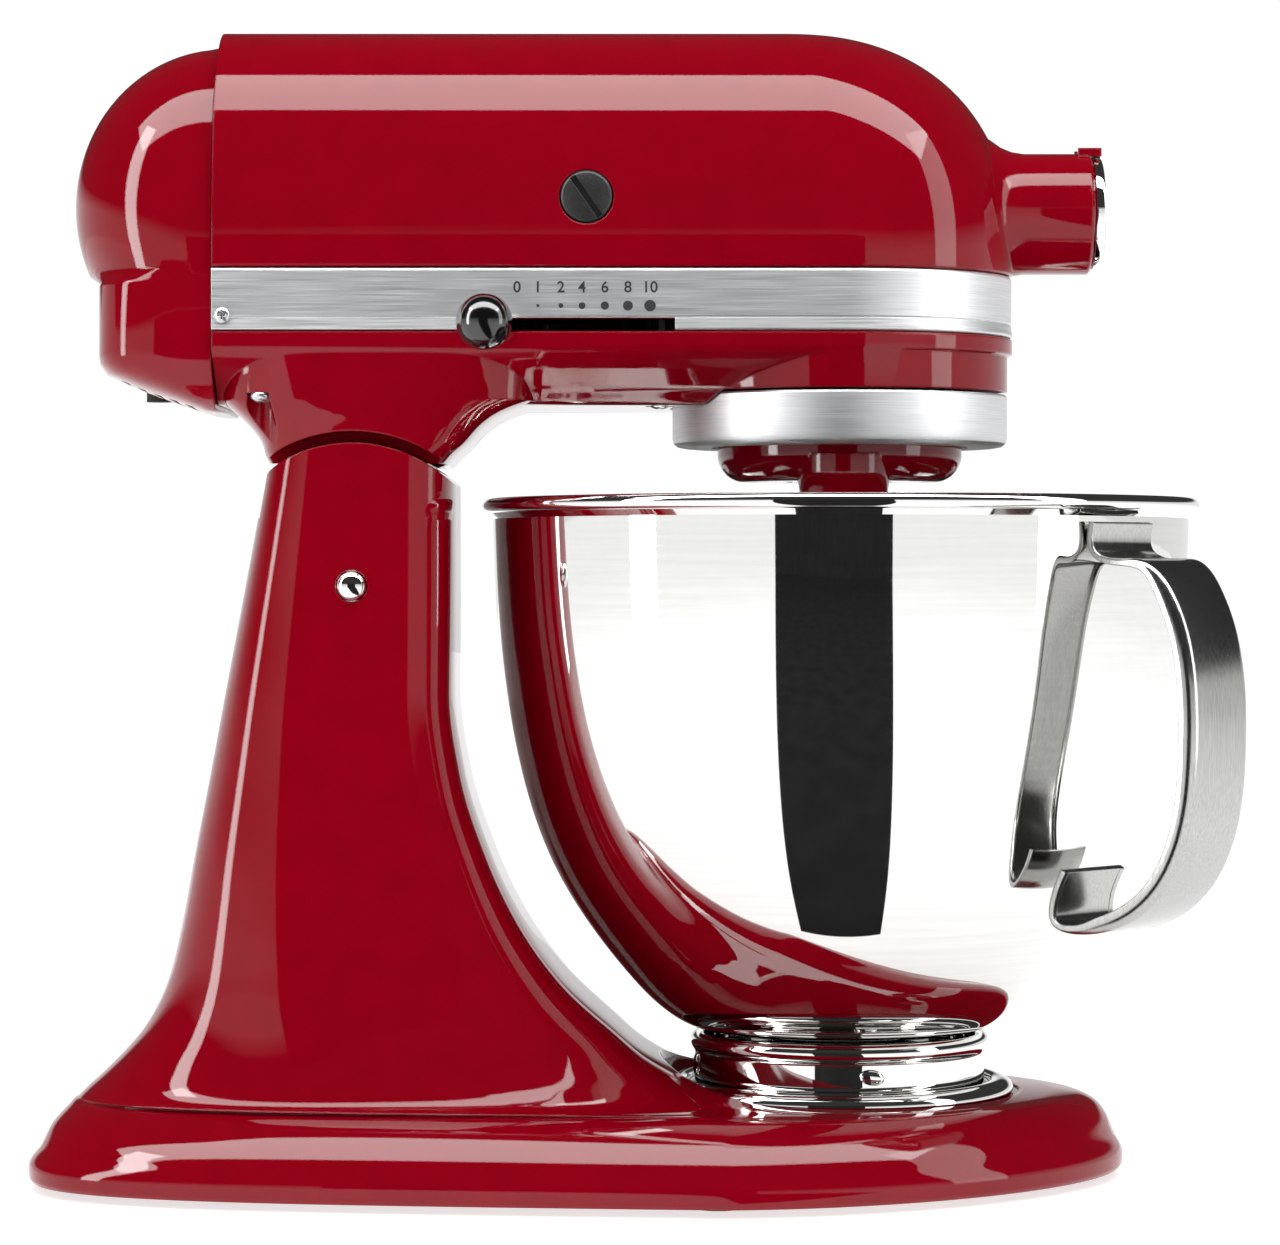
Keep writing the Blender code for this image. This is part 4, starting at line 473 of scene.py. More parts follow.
def oval(level, count, inset=0.0):
    height, rear, front, middle, wide, taper, front_power, rear_power = level
    ring = []
    for step in range(count):
        turn = 2 * math.pi * (step + 0.5) / count
        along, across = math.cos(turn), math.sin(turn)
        power = front_power if along >= 0 else rear_power
        reach = (front - middle if along >= 0 else middle - rear) - inset
        x = middle + reach * math.copysign(abs(along) ** (2 / power), along)
        narrowing = 1 + taper * min(0.0, x - middle) / (middle - rear)
        ring.append(
            (x, (wide - inset) * narrowing * math.copysign(abs(across) ** (2 / power), across), height)
        )
    return ring


levels = steady(base_levels(), 6, 5)
sides = 240
WALL = 0.004
hollow = [oval((-0.01, *base_levels()[1][1:]), 64, WALL)]
for level in [base_levels()[row] for row in (1, 4, 6, 9, 11, 12, 13, 14, 15)]:
    if level[0] - WALL < WEB - 0.016:
        hollow.append(oval((level[0] - WALL, *level[1:]), 64, WALL))
hollow.append(oval((WEB - 0.010, *base_levels()[-3][1:]), 64, WALL + 0.004))
under = worked(
    loft(hollow), cut(rod(PLATE_RADIUS + 0.007, DECK - 0.0047, DECK + 0.02, centre=(BOWL_X, 0, 0))),
)
crown = [(z, x) for x, z in arc(SADDLE, 150, 30, 90, (PIN_X, PIN_Z))]
reach = SADDLE + 0.02
crown += [(PIN_Z + SADDLE / 2, crown[-1][1] + reach), (PIN_Z + reach, crown[-1][1] + reach),
          (PIN_Z + reach, crown[0][1] - reach), (PIN_Z + SADDLE / 2, crown[0][1] - reach)]
sky = loft([[(x, y, z) for z, x in crown] for y in (-0.08, 0.08)])
foot_places = [(-0.1446, -0.042), (-0.1446, 0.042), (0.029, 0.0727), (0.029, -0.0727), (0.1322, 0.0)]
steps = [cut(under)]
for x, y in foot_places:
    steps.append(join(rod(0.0115, BASE_LOW + 0.0005, DECK - 0.0055, centre=(x, y, 0), steps=40)))
steps += [
    cut(sky), cut(block((-0.1033, -LUG_HALF, WEB), (-0.055, LUG_HALF, PIN_Z + 0.06))),
    cut(
        block(
            (-0.1233, -LUG_HALF + 0.0007, PIN_Z + 0.0206),
            (PIN_X - 0.0013, LUG_HALF - 0.0007, PIN_Z + 0.0587),
        )
    ),
    cut(rod(0.0047, -0.08, 0.08, "Y", (PIN_X, 0, PIN_Z))),
    cut(rod(PLATE_RADIUS + 0.002, DECK - 0.0005, DECK + 0.012, centre=(BOWL_X, 0, 0), steps=144)),
    cut(block((-0.0812, 0.030, 0.1928), (-0.0628, 0.08, 0.1992))),
]
base = worked(loft([oval(level, sides) for level in levels]), *steps)
piece("base_and_pedestal", base, enamel, "base", "red_enamel", "base_casting")

# %% [markdown]
# ## The head
# The motor housing is an arch in section, a superellipse of power 2.5, drawn out along the machine and
# closed by a quarter-round nose. The front hub is cast with it, so the corner between them is a fillet,
# turned about the hub's own axis and joined on. The rear edge is open, where the cover meets it.

# %% Motor housing
HALF, TOP = 0.0525, 0.3533      # half width and top of the head
SPRING, ARCH = 0.278, 2.5       # where the arch starts, and how square it is
NOSE_X, NOSE_Z, NOSE_LONG, NOSE_HIGH = 0.050, 0.285, 0.071, 0.0686
NOSE_SQUARE = 2.3               # squareness of the nose from the side
SEAM = -0.122                   # rear edge of the housing
BAND_LOW, BAND_TOP = 0.2591, 0.2779
STRIP = 0.0013                  # thickness of the trim band
PARTING = 0.268                 # joint of the two castings, behind the band
HUB_Z, HUB_FRONT, HUB_RADIUS, HUB_BORE = 0.298, 0.1455, 0.0187, 0.0125
BRUSH_X, BRUSH_RADIUS = -0.010, 0.0078


def plan(height, half, front, middle, rear, steps=72):
    """Plan outline of the head: a flat rear end, straight sides and a half-elliptical front."""
    ring = [(rear, -half, height)]
    for step in range(steps + 1):
        turn = math.pi * (step / steps - 0.5)
        ring.append((middle + (front - middle) * math.cos(turn), half * math.sin(turn), height))
    return [*ring, (rear, half, height)]


def belt(height, inset, rear=SEAM):
    return plan(height, HALF - inset, NOSE_X + NOSE_LONG + 0.0005 - inset, BOWL_X, rear)


def arch(shrink, rear, levels, most=89.2):
    rings = []
    for level in range(1, levels + 1):
        rise = math.radians(most) * level / levels
        height = SPRING + (TOP - SPRING - shrink) * math.sin(rise) ** (2 / ARCH)
        half = (HALF - shrink) * math.cos(rise) ** (2 / ARCH)
        lift = max(0.0, height - NOSE_Z) / (NOSE_HIGH - shrink)
        front = NOSE_X + (NOSE_LONG - shrink) * max(
            0.0, 1 - lift ** NOSE_SQUARE,
        ) ** (1 / NOSE_SQUARE) + 0.0005
        middle = BOWL_X + (NOSE_X - BOWL_X) * math.sin(rise) ** 2
        rings.append(plan(height, half, max(front, middle + 0.001), middle, rear))
    return rings


rings = [belt(PARTING + 0.0003, STRIP + 0.0003), belt(BAND_TOP + 0.0003, STRIP + 0.0003),
         belt(BAND_TOP + 0.0004, 0.0004), belt(BAND_TOP + 0.0008, 0.0)] + arch(0.0, SEAM, 56)
room = [belt(PARTING - 0.01, 0.0051, SEAM - 0.02), belt(SPRING - 0.001, 0.0051, SEAM - 0.02)]
fillet = [
    (0.010, 0.094), (HUB_RADIUS + 0.0100, 0.094), (HUB_RADIUS + 0.0082, 0.1080),
    (HUB_RADIUS + 0.0045, 0.1142), (HUB_RADIUS + 0.0020, 0.1178), (HUB_RADIUS + 0.0006, 0.1212),
    (HUB_RADIUS, 0.1250), (HUB_RADIUS, HUB_FRONT - 0.0008), (HUB_RADIUS - 0.0008, HUB_FRONT),
    (0.010, HUB_FRONT),
]
hinge_x, hinge_z = HUB_FRONT + 0.0018, HUB_Z + 0.0187
steps = [join(turned(fillet, "X", (0, 0, HUB_Z), 112)), cut(loft(room + arch(0.005, SEAM - 0.02, 24, 86))),
         cut(rod(HUB_BORE, NOSE_X + 0.05, HUB_FRONT + 0.01, "X", (0, 0, HUB_Z), 96)),
         cut(rod(0.0036, 0.005, HUB_RADIUS + 0.01, "Y", (0.131, 0, HUB_Z), 48)),
         cut(rod(BRUSH_RADIUS + 0.0003, -0.08, 0.08, "Y", (BRUSH_X, 0, 0.299), 96))]
for side in (-1, 1):
    low, high = sorted((side * 0.0046, side * 0.0064))
    steps.append(
        join(block((HUB_FRONT - 0.004, low, hinge_z - 0.0012), (hinge_x + 0.0014, high, hinge_z + 0.0014)))
    )
steps.append(join(rod(0.0008, -0.006, 0.006, "Y", (hinge_x, 0, hinge_z), 24)))
piece("motor_shell", worked(loft(rings), *steps), enamel, "head", "red_enamel", "motor_housing")

# %% [markdown]
# ### Lower gearcase
# Below the band the second casting slopes in to a flat keel, swells round under the beater drive, and comes
# down behind as a skirt over the pedestal. Its underside is cut to a round saddle about the hinge pin, so
# that it clears the pedestal as the head tilts. The wider cut at both sides leaves the shadow line between
# head and pedestal.

# %% Lower gearcase
KEEL, KEEL_HALF, FLANK = 0.2376, 0.034, 0.254
DRIP_RADIUS = 0.0519


def skirt_levels():
    """Height, back, front and half width of the skirt."""
    back, front, half = -0.1083, -0.0540, 0.0454
    low = [
        (PIN_Z + 0.0370, back + 0.0012, front + 0.0012, half - 0.0004),
        (PIN_Z + 0.0395, back, front + 0.0034, half + 0.0004),
        (PIN_Z + 0.0425, back - 0.0008, front + 0.0067, half + 0.0012),
        (PIN_Z + 0.0470, back - 0.0036, front + 0.0108, half + 0.0023),
        (PIN_Z + 0.0518, back - 0.0084, front + 0.0175, half + 0.0036),
    ]
    return low + [
        (PIN_Z + 0.0560, SEAM + 0.0003, front + 0.0290, half + 0.0046),
        (FLANK + 0.0015, SEAM + 0.0003, front + 0.0300, HALF - 0.0006),
    ]


skirt = []
for height, back, front, half in spline(skirt_levels()[:6], 8) + [np.array(skirt_levels()[-1])]:
    ring = []
    for step in range(128):
        turn = 2 * math.pi * (step + 0.5) / 128
        along, across = math.cos(turn), math.sin(turn)
        ring.append(((back + front) / 2 + (front - back) / 2 * math.copysign(abs(along) ** 0.4, along),
                     half * math.copysign(abs(across) ** 0.4, across), height))
    skirt.append(ring)
keel = [
    (KEEL, KEEL_HALF - 0.004, 0.090), (KEEL + 0.0005, KEEL_HALF - 0.0018, 0.0922),
    (KEEL + 0.0017, KEEL_HALF, 0.094), (KEEL + 0.0035, KEEL_HALF + 0.0024, 0.0962),
    (FLANK - 0.006, HALF - 0.006, 0.110), (FLANK - 0.0032, HALF - 0.0026, 0.1145),
    (FLANK - 0.0012, HALF - 0.0008, 0.119),
]
rings = [plan(height, half, front, BOWL_X, SEAM) for height, half, front in keel]
rings += [
    belt(FLANK, 0.0001), belt(FLANK + 0.001, 0.0), belt(BAND_LOW - 0.0007, 0.0),
    belt(BAND_LOW - 0.0003, 0.0004), belt(BAND_LOW - 0.0002, STRIP + 0.0003), belt(PARTING, STRIP + 0.0003),
]
trough = [
    (KEEL + 0.0075, KEEL_HALF - 0.002, 0.088), (FLANK - 0.001, HALF - 0.0051, NOSE_X + NOSE_LONG - 0.0051),
]
trough = [plan(height, half, front, BOWL_X, SEAM - 0.02) for height, half, front in trough]
trough.append(belt(PARTING + 0.01, 0.0051, SEAM - 0.02))
neck = block((-0.008, -0.0315, 0.010), (0.008, 0.0315, SADDLE + 0.0114))
round_front = [
    (0.02, KEEL + 0.0042), (HALF - 0.0012, KEEL + 0.0042), (HALF - 0.0005, KEEL + 0.0049),
    (HALF - 0.0005, FLANK + 0.001), (0.02, FLANK + 0.001),
]
lean = Matrix.Translation((PIN_X, 0, PIN_Z)) @ Matrix.Rotation(math.radians(20), 4, "Y")
LEVER_X, LEVER_Z, SLOT = -0.013, 0.2608, 0.0295
steps = [
    join(turned(round_front, centre=(BOWL_X, 0, 0), steps=160)), join(loft(skirt)),
    cut(rod(SADDLE + 0.0004, -0.08, 0.08, "Y", (PIN_X, 0, PIN_Z), 180)),
    cut(rod(SADDLE + 0.0034, -0.08, -0.036, "Y", (PIN_X, 0, PIN_Z), 180)),
    cut(rod(SADDLE + 0.0034, 0.036, 0.08, "Y", (PIN_X, 0, PIN_Z), 180)),
    cut(rod(DRIP_RADIUS + 0.0009, PIN_Z + 0.02, KEEL + 0.0046, centre=(BOWL_X, 0, 0), steps=160)),
    cut(loft(trough)),
    cut(rod(HALF - 0.0085, KEEL + 0.0085, FLANK + 0.002, centre=(BOWL_X, 0, 0), steps=96)),
    join(rod(0.017, -0.032, 0.032, "Y", (PIN_X, 0, PIN_Z), 96)), join(placed(neck, lean)),
    join(block((PIN_X + 0.002, -0.012, PIN_Z - 0.0147), (PIN_X + 0.0165, 0.012, PIN_Z - 0.001))),
    cut(rod(0.0048, -0.08, 0.08, "Y", (PIN_X, 0, PIN_Z))),
    cut(rod(0.0093, KEEL - 0.01, KEEL + 0.03, centre=(BOWL_X, 0, 0))),
    join(
        turned(
            [
                (0.006, KEEL + 0.002), (0.006, LEVER_Z - 0.0015), (0.003, LEVER_Z - 0.0015),
                (0.003, LEVER_Z + 0.0016),
            ],
            centre=(LEVER_X, 0, 0), steps=48,
        )
    ),
    cut(block((LEVER_X - SLOT, -0.08, LEVER_Z - 0.0019), (LEVER_X + SLOT, -0.03, LEVER_Z + 0.0019))),
]
screw_seats = [
    (SEAM + 0.0145, -HALF + 0.0075, KEEL + 0.003), (SEAM + 0.0145, HALF - 0.0075, KEEL + 0.003),
    (0.012, -0.020, KEEL + 0.002),
]
for x, y, seat in screw_seats:
    steps.append(cut(rod(0.0045, PIN_Z + 0.02, seat, centre=(x, y, 0), steps=48)))
piece("lower_shell", worked(loft(rings), *steps), enamel, "head", "red_enamel", "lower_gearcase")

# %% [markdown]
# ### Rear cover
# A thin pressing closes the motor's end: a dome above, and a squarer chin below it with a small crease
# between them. It is 2.5 mm narrower than the housing all round, which makes the housing's rear edge read
# as a step.

# %% Rear cover


def cover_levels(inset):
    """Height, back, half width and squareness of the chin's levels, then of the dome's."""
    half, back, low = HALF - 0.0025 - inset, -0.1592 + inset, 0.236 + inset
    chin = [
        (low, SEAM - 0.006, half - 0.014, 3.0),
        ((low + 0.247) / 2, (SEAM + back) / 2 - 0.004, half - 0.006, 3.6),
        (0.247 + inset * 0.5, back + 0.0022, half - 0.0015, 4.2),
        (0.250, back + 0.0004, half - 0.0002, 4.4), (0.2525, back, half, 4.4), (0.2735, back, half, 4.4),
        (0.2745, back + 0.0004, half - 0.0002, 4.2),
    ]
    dome = []
    first = math.asin((0.278 - 0.299) / (0.0495 - inset))
    for level in range(31):
        rise = first + (math.radians(88.5) - first) * level / 30
        height = 0.299 + (0.0495 - inset) * math.sin(rise)
        share = max(0.0, (height - SPRING) / (0.3485 - inset - SPRING))
        dome.append(
            (
                height, SEAM - (0.0465 - inset) * math.cos(rise),
                half * max(0.02, 1 - share ** ARCH) ** (1 / ARCH), 2.3,
            )
        )
    return chin + dome


def cover_ring(level, steps=72, overrun=0.0):
    height, back, half, power = level
    front = SEAM - 0.0003
    ring = []
    for step in range(steps + 1):
        turn = math.pi * (0.5 + step / steps)
        along, across = math.cos(turn), math.sin(turn)
        ring.append((front - (front - back) * abs(along) ** (2 / power),
                     half * math.copysign(abs(across) ** (2 / power), across), height))
    return [(front + overrun, half, height), *ring, (front + overrun, -half, height)] if overrun else ring


steps = [cut(loft([cover_ring(level, 32, 0.01) for level in cover_levels(0.0025)])),
         cut(rod(0.0045, 0.226, 0.256, centre=(-0.1452, 0.018, 0))),
         cut(rod(0.0021, -0.1692, -0.1492, "X", (0, 0, 0.26075), 32))]
for slot in range(5):
    x = SEAM - 0.009 - slot * 0.0048
    steps.append(cut(block((x - 0.0012, -0.030, 0.226), (x + 0.0012, -0.004, 0.259))))
piece("rear_dome", worked(loft([cover_ring(level) for level in cover_levels(0.0)]), *steps), enamel, "head",
      "red_enamel", "rear_cover")

# %% [markdown]
# ### Trim band
# The band is an extruded aluminium strip bent round the head. Its section has a brushed face and, along its
# lower edge, a lip 4 mm high that stands a little proud; the real lip is polished, here it keeps the brushed
# finish of the face. The section is swept along the head's plan outline. The slot that the speed lever runs
# in is cut out of its lower half.

# %% Trim band and its slot
LIP = 0.0041
section = [
    (0.0002, BAND_LOW + 0.0003), (0.0, BAND_LOW + 0.0007), (0.0005, BAND_LOW + LIP - 0.0002),
    (0.0007, BAND_LOW + LIP), (0.0003, BAND_LOW + LIP + 0.0003), (0.0003, BAND_TOP - 0.0009),
    (0.0006, BAND_TOP - 0.0003), (0.0010, BAND_TOP), (STRIP, BAND_TOP), (STRIP, BAND_LOW),
    (0.0006, BAND_LOW),
]
loops = []
for inset, height in section:
    outline = belt(height, inset)
    loops.append(outline)
ends = [[loops[i][j] for i in range(len(loops))] for j in range(len(loops[0]))]
band = worked(
    loft(ends),
    cut(block((LEVER_X - SLOT, -0.08, BAND_LOW - 0.01), (LEVER_X + SLOT, -0.03, LEVER_Z + 0.0021))),
)
piece("trim_strip", band, brushed, "head", "brushed_aluminium", "trim_band", sharp=25)

# %% [markdown]
# ### Drip ring, planetary hub and controls
# These are turned parts, so each is a profile. The drip ring is rolled from the same aluminium as the band.
# The hub is enamelled, with the boss of the beater shaft cast on its side.

# %% Turned parts under the head
top = KEEL + 0.0039
profile = [
    (0.0399, 0.2254), (0.0485, 0.2254), (0.0503, 0.2257), (0.0515, 0.2267), (DRIP_RADIUS, 0.2282),
    (DRIP_RADIUS, top - 0.0006), (DRIP_RADIUS - 0.0005, top), (0.0497, top), (0.0495, 0.2268),
    (0.0399, 0.2267),
]
piece(
    "drip_rim", turned(profile, centre=(BOWL_X, 0, 0), steps=160, closed=True), brushed, "head",
    "brushed_aluminium", "drip_ring",
)

HUB_LOW, OFFSET, PLANET = 0.2148, 0.027, 0.0379
profile = [
    (0.004, HUB_LOW + 0.0010), (0.018, HUB_LOW + 0.0004),
    *arc(0.0085, -90, 0, 14, (PLANET - 0.0085, HUB_LOW + 0.0085)), (PLANET, KEEL - 0.0092),
    (PLANET - 0.0006, KEEL - 0.0086), (0.004, KEEL - 0.0086),
]
boss = (BOWL_X, -OFFSET, 0)
collar = [
    (0.004, HUB_LOW - 0.0220), (0.0123, HUB_LOW - 0.0220), (0.0131, HUB_LOW - 0.0217),
    (0.0135, HUB_LOW - 0.0209), (0.0135, HUB_LOW - 0.003), (0.0142, HUB_LOW + 0.0010),
    (0.0142, HUB_LOW + 0.008), (0.004, HUB_LOW + 0.008),
]
steps = [join(turned(collar, centre=boss, steps=96)), cut(rod(0.0059, 0.18, KEEL, centre=boss)),
         cut(rod(0.0053, HUB_LOW + 0.004, KEEL, centre=(BOWL_X, 0, 0)))]
piece(
    "beater_drive", worked(turned(profile, centre=(BOWL_X, 0, 0), steps=144), *steps), enamel, "planet",
    "red_enamel", "planetary_hub",
)

LEVER_REACH = 0.07205
LEVER_TURN = Matrix.Translation((LEVER_X, 0, 0)) @ Matrix.Rotation(math.radians(-112), 4, "Z")
ball = [
    (max(0.0, 0.0084 * math.sin(math.pi * s / 40)), -0.0084 * math.cos(math.pi * s / 40))
    for s in range(41)
]
knob = worked(
    placed(turned(ball, "Z", (LEVER_REACH, 0, LEVER_Z), 72), LEVER_TURN),
    cut(placed(block((0.052, -0.0038, LEVER_Z - 0.0015), (0.07146, 0.0038, LEVER_Z + 0.0015)), LEVER_TURN)),
)
piece("speed_ball", knob, knob_black, "speed_lever", "black_plastic", "speed_lever_knob", sharp=50)

profile = [
    (0.002, HUB_FRONT + 0.0003), (0.0170, HUB_FRONT + 0.0003), (0.0175, HUB_FRONT + 0.0008),
    (0.0175, HUB_FRONT + 0.0026), (0.0171, HUB_FRONT + 0.0033), (0.0164, HUB_FRONT + 0.0036),
    (0.0127, HUB_FRONT + 0.0036), (0.0121, HUB_FRONT + 0.0030), (0.0080, HUB_FRONT + 0.0026),
    (0.0004, HUB_FRONT + 0.0025),
]
steps = [
    join(block((hinge_x - 0.0012, -0.004, hinge_z - 0.003), (hinge_x + 0.0012, 0.004, hinge_z - 0.0005))),
    join(rod(0.0015, -0.0041, 0.0041, "Y", (hinge_x, 0, hinge_z), 40)),
    cut(rod(0.001, -0.01, 0.01, "Y", (hinge_x, 0, hinge_z), 24)),
]
piece(
    "hub_lid", worked(turned(profile, "X", (0, 0, HUB_Z), 112), *steps), polished, "hub_cap",
    "polished_steel", "hub_cap",
)

for label, side in (("left", -1), ("right", 1)):
    face = HALF - 0.0004
    profile = [
        (0.001, face - 0.006), (BRUSH_RADIUS, face - 0.006), (BRUSH_RADIUS, face - 0.0008),
        (BRUSH_RADIUS - 0.0003, face - 0.0003), (BRUSH_RADIUS - 0.0009, face), (0.001, face),
    ]
    plug = turned([(radius, side * height) for radius, height in profile], "Y", (BRUSH_X, 0, 0.299), 80)
    low, high = sorted((side * (face - 0.0016), side * (face + 0.002)))
    turn = Matrix.Translation((BRUSH_X, 0, 0.299)) @ Matrix.Rotation(math.radians(55), 4, "Y")
    plug = worked(plug, cut(placed(block((-0.0072, low, -0.00095), (0.0072, high, 0.00095)), turn)))
    piece(f"brush_plug_{label}", plug, cap_black, "head", "black_plastic", f"brush_cap_{label}")

ends = [
    (0.0003, -0.0513), (0.0022, -0.0511), (0.0034, -0.0505), (0.0041, -0.0498), (0.0044, -0.0490),
    (0.0044, 0.0490), (0.0041, 0.0498), (0.0034, 0.0505), (0.0022, 0.0511), (0.0003, 0.0513),
]
piece("hinge_rod", turned(ends, "Y", (PIN_X, 0, PIN_Z), 64), polished, "base", "polished_steel", "hinge_pin")

ball = [(0.006 * math.sin(math.pi * s / 32), 0.0602 - 0.006 * math.cos(math.pi * s / 32)) for s in range(33)]
knob = worked(
    turned(ball, "Y", (-0.066, 0, 0.196), 56), cut(rod(0.0031, 0, 0.0605, "Y", (-0.066, 0, 0.196), 32)),
)
piece("lock_ball", knob, knob_black, "lock_lever", "black_plastic", "lock_lever_knob", sharp=50)

seat = HUB_RADIUS + 0.0006
grip = turned(
    [
        (0.002, seat), (0.0098, seat), (0.0110, seat + 0.0012), (0.0110, seat + 0.0094),
        (0.0100, seat + 0.0107), (0.0070, seat + 0.0110), (0.0060, seat + 0.0104), (0.0004, seat + 0.0104),
    ],
    "Y", (0.131, 0, HUB_Z), 144, lobes=12, depth=0.075,
)
grip = worked(grip, join(rod(0.0032, HUB_BORE - 0.003, seat + 0.005, "Y", (0.131, 0, HUB_Z), 40)))
piece("thumb_screw", grip, knob_black, "attachment_knob", "black_plastic", "attachment_knob")

# %% [markdown]
# ## Bowl, handle and plate
# The bowl is spun from one disc, so it is a single profile: a flat bottom, a swelling wall, and a rim
# rolled into a bead. Its foot is a rolled ring with two beads, and four pressed bumps that lock under the
# plate's lip when the bowl is twisted. The handle is one pressed strap, whose edges curl in along the grip
# and flatten at both tabs.

# %% Bowl shell and foot
RIM_Z, BOWL_RADIUS, BOWL_LOW, FOOT_RADIUS = 0.2073, 0.1077, 0.0445, 0.045
wall = spline(
    [
        (0.036, BOWL_LOW), (0.046, BOWL_LOW + 0.0018), (0.056, BOWL_LOW + 0.0075),
        (BOWL_RADIUS * 0.611, BOWL_LOW + 0.0172), (BOWL_RADIUS * 0.717, BOWL_LOW + 0.0313),
        (BOWL_RADIUS * 0.821, BOWL_LOW + 0.0493), (BOWL_RADIUS * 0.919, BOWL_LOW + 0.0777),
        (BOWL_RADIUS * 0.965, RIM_Z - 0.060), (BOWL_RADIUS * 0.992, RIM_Z - 0.028),
        (BOWL_RADIUS, RIM_Z - 0.004),
    ],
    8,
)
inner = []
for index in range(len(wall) - 1, 0, -1):
    along = Vector(wall[index] - wall[index - 1]).normalized()
    inner.append((wall[index][0] - along.y * 0.001, wall[index][1] + along.x * 0.001))
bead = arc(0.0023, -80, 190, 24, (BOWL_RADIUS + 0.0010, RIM_Z))
profile = [
    (0.0005, BOWL_LOW), (0.018, BOWL_LOW), *map(tuple, wall), *bead, *inner, (0.034, BOWL_LOW + 0.001),
    (0.0005, BOWL_LOW + 0.001),
]
bowl_axis = (BOWL_X, 0, 0)
piece(
    "spun_bowl", turned(profile, centre=bowl_axis, steps=192), polished, "bowl", "polished_steel",
    "bowl_shell",
)

low, top, ring = 0.0281, BOWL_LOW + 0.0006, FOOT_RADIUS
profile = [
    (ring - 0.0014, low), (ring - 0.0003, low), (ring, low + 0.0004), (ring, top - 0.0066),
    (ring + 0.0006, top - 0.0058), (ring + 0.0013, top - 0.0046), (ring + 0.0016, top - 0.0032),
    (ring + 0.0012, top - 0.0018), (ring + 0.0004, top - 0.0010), (ring - 0.0004, top - 0.0004),
    (ring - 0.0024, top - 0.0004), (ring - 0.0014, top - 0.004),
]
profile = rounded(profile[:-1], 0.0006, 3) + [profile[-1]]
piece(
    "bowl_base_ring", turned(profile, centre=bowl_axis, steps=160, closed=True), polished, "bowl",
    "polished_steel", "bowl_foot",
)

seat = DECK - 0.0002
profile = [
    (0.0005, seat), (PLATE_RADIUS - 0.0004, seat), (PLATE_RADIUS, seat + 0.0004),
    (PLATE_RADIUS, seat + 0.0014), (PLATE_RADIUS - 0.0006, seat + 0.0026),
    (PLATE_RADIUS - 0.0019, seat + 0.0037), (PLATE_RADIUS - 0.0034, seat + 0.0042),
    (FOOT_RADIUS + 0.0032, seat + 0.0042), (FOOT_RADIUS + 0.0024, seat + 0.0038),
    (FOOT_RADIUS + 0.0022, seat + 0.0030), (FOOT_RADIUS + 0.0022, seat + 0.0016), (0.0005, seat + 0.0016),
]
steps = []
screw_turns = [math.radians(120) * number + 0.5 for number in range(3)]
for turn in screw_turns:
    centre = (BOWL_X + 0.030 * math.cos(turn), 0.030 * math.sin(turn), 0)
    steps.append(cut(rod(0.0025, 0, 0.04, centre=centre, steps=32)))
piece(
    "clamp_plate", worked(turned(profile, centre=bowl_axis, steps=160), *steps), polished, "base",
    "polished_steel", "bowl_plate",
)

# %% Handle
reach, wall_side, tab = 0.1441, 0.1092, BOWL_RADIUS * 0.835 + 0.0026
path = spline(
    [
        (wall_side, RIM_Z - 0.006), (wall_side, RIM_Z - 0.014), (wall_side + 0.0035, RIM_Z - 0.0165),
        (wall_side + 0.018, RIM_Z - 0.0180), (reach - 0.008, RIM_Z - 0.0270),
        (reach - 0.0015, RIM_Z - 0.045), (reach, RIM_Z - 0.072), (reach - 0.004, RIM_Z - 0.098),
        (reach - 0.015, RIM_Z - 0.1155), (reach - 0.032, RIM_Z - 0.1245), (tab + 0.012, RIM_Z - 0.1255),
        (tab + 0.0022, RIM_Z - 0.1225), (tab + 0.0022, RIM_Z - 0.1170), (tab + 0.0062, RIM_Z - 0.1080),
    ],
    10,
)
SHEET, EDGE, HALF_STRAP = 0.0018, 0.0020, 0.0145
rings = []
for index, point in enumerate(path):
    after, before = path[min(index + 1, len(path) - 1)], path[max(index - 1, 0)]
    along = Vector(after - before).normalized()
    out = Vector((-along.y, along.x))
    share = min(1.0, max(0.0, (min(index, len(path) - 1 - index) - 20) / 24))
    share = share * share * (3 - 2 * share)
    curl = 0.0005 + 0.0030 * share
    lip = SHEET + 0.0029 * share + 0.00002
    skin = SHEET / 2
    side = [
        (
            HALF_STRAP - curl + curl * math.sin(math.radians(a)),
            skin - curl + curl * math.cos(math.radians(a)),
        )
        for a in range(0, 91, 15)
    ]
    side = [(x, max(y, skin - lip)) for x, y in side]
    side += [
        (HALF_STRAP, skin - lip), (HALF_STRAP - 0.0003, skin - lip - 0.0002),
        (HALF_STRAP - EDGE, skin - lip - 0.0001),
    ]
    hollow = max(0.0003, curl - SHEET)
    side += [(HALF_STRAP - EDGE, -skin - hollow * 0.4 * share - 0.00001), (HALF_STRAP - EDGE - hollow, -skin)]
    section = side + [(-x, y) for x, y in side[::-1]]
    rings.append([(point[0] + out.x * shift, across, point[1] + out.y * shift) for across, shift in section])
to_side = Matrix.Translation(bowl_axis) @ Matrix.Rotation(math.radians(-43.5), 4, "Z")
piece("strap_handle", placed(loft(rings), to_side), satin, "bowl", "satin_steel", "bowl_handle", sharp=40)

# %% [markdown]
# ## What repeats
# Screws, locking bumps and the dots of the speed scale are each one small shape, set many times. A cloud of
# points carries where each copy goes, which way it faces and how big it is. Geometry Nodes set a copy on each
# point, make the copies real, and give them their finish, so that each body gets one plain mesh.

